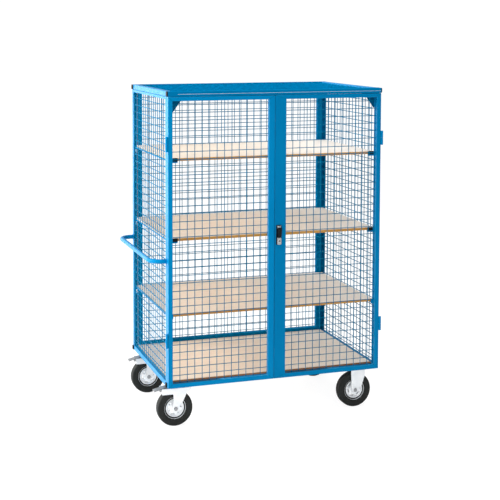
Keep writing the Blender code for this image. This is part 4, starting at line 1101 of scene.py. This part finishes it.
# ------------------------------------------------------------------ casters
def rim_mesh(center):
    """A pressed wheel disc: rolled flange, groove, ring, dished web with six slots, hub with a bearing."""
    lo, hi = cbox("wheel_front_right_rim")
    b, o = 0.0063, (hi.z - lo.z) / 2
    half = [(b, 0.0240), (0.0085, 0.0240), (0.0092, 0.0234), (0.0096, 0.0222), (0.0108, 0.0222), (0.0114, 0.0232), (0.0150, 0.0236), (0.0162, 0.0226),
            (0.0166, 0.0160), (0.0184, 0.0122), (0.0220, 0.0098), (0.0300, 0.0088), (0.0400, 0.0094), (0.0440, 0.0108), (0.0460, 0.0140), (0.0474, 0.0160),
            (0.0494, 0.0162), (0.0510, 0.0148), (0.0518, 0.0110), (0.0524, 0.0080), (0.0584, 0.0080), (0.0590, 0.0120), (0.0594, 0.0176), (0.0604, 0.0186),
            (o - 0.0003, 0.0180), (o, 0.0160)]
    prof = half + [(r, -h) for r, h in half[::-1]]
    g = Geo()
    g.lathe(prof, center, "Y", 72)
    cuts = Geo()
    cx, cy, cz = center
    for k in range(6):
        a = math.pi / 3 * k + 0.26
        pts = []
        for i in range(9):
            t = a - 0.19 + 0.38 * i / 8
            pts.append((cx + 0.0392 * math.cos(t), cz + 0.0392 * math.sin(t)))
        for i in range(5):
            u = math.pi * i / 4
            m = a + 0.19
            pts.append((cx + 0.0352 * math.cos(m) + 0.0040 * (math.cos(u) * math.cos(m) - math.sin(u) * math.sin(m)),
                        cz + 0.0352 * math.sin(m) + 0.0040 * (math.cos(u) * math.sin(m) + math.sin(u) * math.cos(m))))
        for i in range(9):
            t = a + 0.19 - 0.38 * i / 8
            pts.append((cx + 0.0312 * math.cos(t), cz + 0.0312 * math.sin(t)))
        for i in range(5):
            u = -math.pi + math.pi * i / 4
            m = a - 0.19
            pts.append((cx + 0.0352 * math.cos(m) + 0.0040 * (math.cos(u) * math.cos(m) - math.sin(u) * math.sin(m)),
                        cz + 0.0352 * math.sin(m) + 0.0040 * (math.cos(u) * math.sin(m) + math.sin(u) * math.cos(m))))
        clean = []
        for p in pts:
            if not clean or (Vector(p) - Vector(clean[-1])).length > 0.0003:
                clean.append(p)
        if (Vector(clean[0]) - Vector(clean[-1])).length < 0.0003:
            clean.pop()
        cuts.prism(clean, "Y", cy - 0.016, cy + 0.016)
    return boolean(mesh_of("rim", g), [cuts])


def tyre_geo(center):
    inner = 0.0616
    half = [(inner, 0.0172), (0.0625, 0.0190), (0.0640, 0.0198), (0.0662, 0.0200), (0.0680, 0.0222), (0.0700, 0.0232), (0.0760, 0.0238), (0.0820, 0.0240),
            (0.0832, 0.0236), (0.0840, 0.0230), (0.0850, 0.0230), (0.0860, 0.0236), (0.0905, 0.0238), (0.0945, 0.0232), (0.0972, 0.0218), (0.0988, 0.0198),
            (0.0996, 0.0172), (0.0999, 0.0140), (0.1000, 0.0082), (0.0992, 0.0078), (0.0992, 0.0066), (0.1000, 0.0062), (0.1000, 0.0022)]
    prof = half + [(a, -h) for a, h in half[::-1]]
    g = Geo()
    g.lathe(prof, center, "Y", 96)
    # painted shade: dark rubber rings in the rim's groove, one on each side, standing in for the recess's shade
    for k in (-1, 1):
        g.lathe([(0.0520, k * 0.0085), (0.0590, k * 0.0085), (0.0590, k * 0.0112), (0.0582, k * 0.0122), (0.0528, k * 0.0122), (0.0520, k * 0.0112)],
                center, "Y", 72)
    return g


def fork_leg(g, wc, left_edge, right_edge, y, out):
    """One cheek of a fork, with a boss round the axle."""
    cx, cz = wc[0], wc[2]
    pts = [(cx + x, z) for x, z in left_edge]
    for k in range(13):
        a = math.pi * (0.93 + 1.14 * k / 12)
        pts.append((cx + 0.020 * math.cos(a), cz + 0.020 * math.sin(a)))
    pts += [(cx + x, z) for x, z in right_edge]
    n_l, n_r = len(left_edge), len(right_edge)
    radii = [0.0] + [0.005] * (n_l - 1) + [0.0] * 13 + [0.010] * (n_r - 1) + [0.0]
    outline_ = fillet(pts, radii, 4)
    g.prism(outline_, "Y", y - 0.0020, y + 0.0020)
    # boss round the axle
    face = y + out * 0.0020
    g.lathe([(0.0064, -out * 0.0012), (0.0158, -out * 0.0012), (0.0150, out * 0.0008), (0.0138, out * 0.0014), (0.0064, out * 0.0014)],
            (cx, face, cz), "Y", 36)


def caster(name, side, sy, swivel):
    flo, fhi = cbox("caster_%s_fork" % name)
    wlo, whi = cbox("wheel_%s_tyre" % name)
    wc = Vector(((wlo.x + whi.x) / 2, (wlo.y + whi.y) / 2, (cbox("caster_%s_axle" % name)[0].z + cbox("caster_%s_axle" % name)[1].z) / 2))
    yy = wc.y
    ly, lt = 0.0275, 0.0040
    if swivel:
        plo, phi_ = cbox("caster_%s_plate" % name)
        sx = (plo.x + phi_.x) / 2
        top, zp = phi_.z, phi_.z - 0.0045
        g = Geo()
        g.prism(rr(plo.x, phi_.x, plo.y, phi_.y, 0.008, 4), "Z", zp, top)
        for ex in (-1, 1):
            for ey in (-1, 1):
                g.hexagon((sx + ex * 0.0470, yy + ey * 0.0360, zp), "Z", 0.0130, 0.0046, -1, 0, turn=0.3 * ex + 0.2 * ey)
        # raceway: pressed cup with a seal groove
        g.lathe([(0, zp + 0.001), (0.0400, zp + 0.001), (0.0402, zp - 0.0006), (0.0380, zp - 0.0016), (0.0352, zp - 0.0018), (0.0338, zp - 0.0030), (0.0338, zp - 0.0052),
                 (0.0326, zp - 0.0060), (0.0312, zp - 0.0060), (0.0308, zp - 0.0072), (0.0322, zp - 0.0080), (0.0318, plo.z), (0, plo.z)],
                (sx, yy, 0), "Z", 48, closed=False)
        piece("caster_%s_top_plate" % name, g, ["zinc"], ["caster_%s_plate" % name], bevel=0.0005)
        zc = fhi.z
        zl = zc - 0.0060
        left = [(-0.078, zl + 0.0020), (-0.078, 0.1820), (-0.013, 0.1820), (-0.013, 0.136)]
        right = [(0.040, 0.136), (0.062, 0.182), (0.0900, 0.207), (0.0900, zl + 0.0020)]
        g = Geo()
        crown = fillet([(sx - 0.0880, yy - ly - lt), (sx + 0.0340, yy - ly - lt), (sx + 0.0340, yy + ly + lt), (sx - 0.0880, yy + ly + lt)],
                       [0.004, 0.016, 0.016, 0.004], 5)
        g.prism(crown, "Z", zl, zc)
        # dished seat of the raceway and the kingpin nut below
        g.lathe([(0.0150, zl - 0.0012), (0.0270, zl - 0.0012), (0.0300, zl + 0.0005), (0.0150, zl + 0.0005)], (sx, yy, 0), "Z", 40)
        g.hexagon((sx, yy, zl + 0.0004), "Z", 0.0190, 0.0072, -1, 0)
        for k in (-1, 1):
            fork_leg(g, wc, left, right, yy + k * (ly + lt / 2), k)
            # fold radius between cheek and crown
            g.sweep([(sx - 0.0870, yy + k * (ly + lt - 0.0026), zc - 0.0030), (sx + 0.0210, yy + k * (ly + lt - 0.0026), zc - 0.0030)], 0.0030, 12)
    else:
        zl, top = fhi.z - 0.0045, fhi.z
        sx = (flo.x + fhi.x) / 2
        left = [(-0.026, zl + 0.0020), (-0.024, 0.118)]
        right = [(0.038, 0.118), (0.059, 0.182), (0.0592, zl + 0.0020)]
        g = Geo()
        g.prism(rr(flo.x, fhi.x, yy - 0.0460, yy + 0.0460, 0.008, 4), "Z", zl, top)
        for ex in (-1, 1):
            for ey in (-1, 1):
                g.hexagon((sx + ex * 0.0470, yy + ey * 0.0385, zl), "Z", 0.0130, 0.0046, -1, 0, turn=0.3 * ex + 0.2 * ey)
        for k in (-1, 1):
            fork_leg(g, wc, left, right, yy + k * (ly + lt / 2), k)
            g.bead((wc.x - 0.024, yy + k * (ly + lt), zl), (wc.x + 0.057, yy + k * (ly + lt), zl), (0, k, 0), width=0.005, high=0.0018)
    mesh = mesh_of("fork", g)
    piece("caster_%s_pressed_fork" % name, g, ["fork"], ["caster_%s_fork" % name], bevel=0.0009, mesh=mesh)
    # axle: bolt, washers, nut and thread end
    g = Geo()
    alo, ahi = cbox("caster_%s_axle" % name)
    g.lathe([(0, -0.0375), (0.0036, -0.0375), (0.0050, -0.0368), (0.0058, -0.0355), (0.0058, 0.0380), (0.0048, 0.0392), (0, 0.0392)], wc, "Y", 24, closed=False)
    for k in (-1, 1):
        g.hexagon((wc.x, yy + k * 0.0320, wc.z), "Y", 0.0165, 0.0058, k, 0, turn=0.26)
        g.lathe([(0.0064, k * 0.0243), (0.0110, k * 0.0243), (0.0112, k * 0.0250), (0.0110, k * 0.0273), (0.0064, k * 0.0273)], wc, "Y", 28)
    piece("caster_%s_axle_bolt" % name, g, ["bolt"], ["caster_%s_axle" % name], bevel=0.0003)
    # wheel
    mesh = rim_mesh(tuple(wc))
    piece("wheel_%s_pressed_rim" % name, None, ["zinc"], ["wheel_%s_rim" % name], bevel=0, mesh=mesh)
    piece("wheel_%s_moulded_tyre" % name, tyre_geo(tuple(wc)), ["rubber"], ["wheel_%s_tyre" % name], bevel=0)
    if swivel:
        lo, hi = cbox("caster_%s_pedal" % name)
        px, pz = hi.x - 0.005, fhi.z - 0.0030
        y0, y1 = lo.y, hi.y
        # folded tread: a bent strip with side flanges and cleats, on a pivot pin
        strip = [(px - 0.0800, pz - 0.0168), (px - 0.0792, pz - 0.0122), (px - 0.0450, pz - 0.0040), (px - 0.0100, pz + 0.0045), (px + 0.0020, pz + 0.0036),
                 (px + 0.0020, pz + 0.0012), (px - 0.0100, pz + 0.0018), (px - 0.0450, pz - 0.0067), (px - 0.0770, pz - 0.0144), (px - 0.0776, pz - 0.0168)]
        g = Geo()
        g.prism(fillet(strip, [0.0006, 0.003, 0.004, 0.006, 0.001, 0.001, 0.006, 0.004, 0.0015, 0.0006], 3), "Y", y0, y1)
        for y in (y0 + 0.0011, y1 - 0.0011):
            cheek = [(px - 0.0700, pz - 0.0110), (px - 0.0100, pz + 0.0036), (px + 0.0040, pz + 0.0026), (px + 0.0040, pz - 0.0032), (px - 0.0120, pz - 0.0028),
                     (px - 0.0480, pz - 0.0080)]
            g.prism(fillet(cheek, 0.0016, 3), "Y", y - 0.0011, y + 0.0011)
        for i in range(5):
            x = px - 0.0725 + 0.0085 * i
            z = pz - 0.0107 + 0.0085 * i * 0.242
            g.sweep([(x, y0 + 0.004, z), (x, (y0 + y1) / 2, z + 0.0002), (x, y1 - 0.004, z)], [0.0013, 0.0016, 0.0013], 10)
        g.lathe([(0, -0.0205), (0.0022, -0.0205), (0.0026, -0.0200), (0.0026, 0.0200), (0.0022, 0.0205), (0, 0.0205)], (px, yy, pz), "Y", 18, closed=False)
        piece("caster_%s_brake_pedal" % name, g, ["pedal"], ["caster_%s_pedal" % name], bevel=0.0005)


for cname, cside, csy, csw in (("front_left", -1, -1, True), ("rear_left", -1, 1, True), ("front_right", 1, -1, False), ("rear_right", 1, 1, False)):
    caster(cname, cside, csy, csw)


# ------------------------------------------------------------------ stage, light and camera
def stage():
    me = bpy.data.meshes.new("studio_floor")
    n, R = 96, 40.0
    me.from_pydata([(R * math.cos(2 * math.pi * i / n), R * math.sin(2 * math.pi * i / n), 0.0) for i in range(n)], [], [tuple(range(n))])
    m, nt, b = tree("studio_floor_white", (0.95, 0.95, 0.95))
    v = coords(nt)
    col = ramp(nt, noise(nt, v, 1.3, 3), [(0.3, (0.900, 0.900, 0.905)), (0.7, (0.930, 0.930, 0.935))])
    seen = nt.nodes.new("ShaderNodeLightPath").outputs["Is Camera Ray"]
    col = mix(nt, seen, col, (0.19, 0.19, 0.19))
    nt.links.new(col, b.inputs["Base Color"])
    b.inputs["Roughness"].default_value = 0.85
    b.inputs["Specular IOR Level"].default_value = 0.1
    b.inputs["Emission Color"].default_value = (1, 1, 1, 1)
    nt.links.new(spread(nt, seen, FLOOR_GLOW, FLOOR_SEEN), b.inputs["Emission Strength"])
    me.materials.append(m)
    floor = bpy.data.objects.new("studio_floor", me)
    bpy.context.scene.collection.objects.link(floor)


def area(name, place, target, size, power, color=(1, 1, 1)):
    d = bpy.data.lights.new(name, "AREA")
    d.shape = "RECTANGLE"
    d.size, d.size_y = size
    d.energy = power
    d.color = color
    ob = bpy.data.objects.new(name, d)
    ob.location = place
    ob.rotation_euler = (Vector(target) - Vector(place)).to_track_quat("-Z", "Y").to_euler()
    bpy.context.scene.collection.objects.link(ob)
    ob.visible_camera = False
    return ob


FLOOR_GLOW, FLOOR_SEEN = 0.06, 0.90
stage()
MID = Vector((OX, OY, 0.95))
area("key_left", (OX - 5.2, OY + 0.6, 2.6), MID, (3.2, 3.4), 420)
area("back_left_panel", (OX - 3.0, OY + 5.2, 1.5), MID, (4.0, 3.0), 75)
area("fill_front", (OX - 1.0, OY - 5.4, 3.4), MID, (3.6, 2.2), 84)
area("top_soft", (OX + 0.8, OY - 0.3, 5.2), MID, (3.8, 3.0), 128)

world = bpy.data.worlds.new("soft_studio")
bpy.context.scene.world = world
world.use_nodes = True
wt = world.node_tree
bg = wt.nodes["Background"]
tc = wt.nodes.new("ShaderNodeTexCoord")
dot = wt.nodes.new("ShaderNodeVectorMath")
dot.operation = "DOT_PRODUCT"
dot.inputs[1].default_value = Vector((-0.88, 0.36, 0.30)).normalized()
wt.links.new(tc.outputs["Generated"], dot.inputs[0])
env = spread(wt, dot.outputs["Value"], 0.22, 1.00, -0.50, 0.70)
lp = wt.nodes.new("ShaderNodeLightPath")
strength = maths(wt, "MAXIMUM", env, maths(wt, "MULTIPLY", lp.outputs["Is Camera Ray"], 1.05))
wt.links.new(strength, bg.inputs["Strength"])
bg.inputs["Color"].default_value = (1, 1, 1, 1)

# camera: the picture's viewing angle, with the lens shifted as an off-centre crop has it
YAW, PITCH_C, ROLL = 0.293220, 0.0690451, -0.0005059
EYE = Vector((OX - 2.20250, OY - 5.96710, 2.17939))
F_PX, CX_PX, CY_PX = 1093.227, 186.946, 104.163
fwd = Vector((math.sin(YAW) * math.cos(PITCH_C), math.cos(YAW) * math.cos(PITCH_C), -math.sin(PITCH_C)))
right = Vector((math.cos(YAW), -math.sin(YAW), 0))
up = right.cross(fwd)
r2 = right * math.cos(ROLL) + up * math.sin(ROLL)
u2 = -right * math.sin(ROLL) + up * math.cos(ROLL)
cam_data = bpy.data.cameras.new("camera")
cam_data.sensor_width = 36
cam_data.lens = F_PX / 500 * 36
cam = bpy.data.objects.new("camera", cam_data)
rot = Matrix((r2, u2, -fwd)).transposed()
cam.matrix_world = Matrix.Translation(EYE) @ rot.to_4x4()
cam_data.clip_start, cam_data.clip_end = 0.05, 200
bpy.context.scene.collection.objects.link(cam)
bpy.context.scene.camera = cam
# the shift holds only while the camera stands at the picture's viewpoint
for prop, value in (("shift_x", (250 - CX_PX) / 500), ("shift_y", (CY_PX - 250) / 500)):
    drv = cam_data.driver_add(prop).driver
    drv.type = "SCRIPTED"
    var = drv.variables.new()
    var.name = "px"
    var.type = "TRANSFORMS"
    var.targets[0].id = cam
    var.targets[0].transform_type = "LOC_X"
    drv.expression = "%.7f if abs(px - %.6f) < 0.001 else 0" % (value, EYE.x)

bpy.context.scene.view_settings.view_transform = "Standard"
bpy.context.scene.view_settings.look = "None"
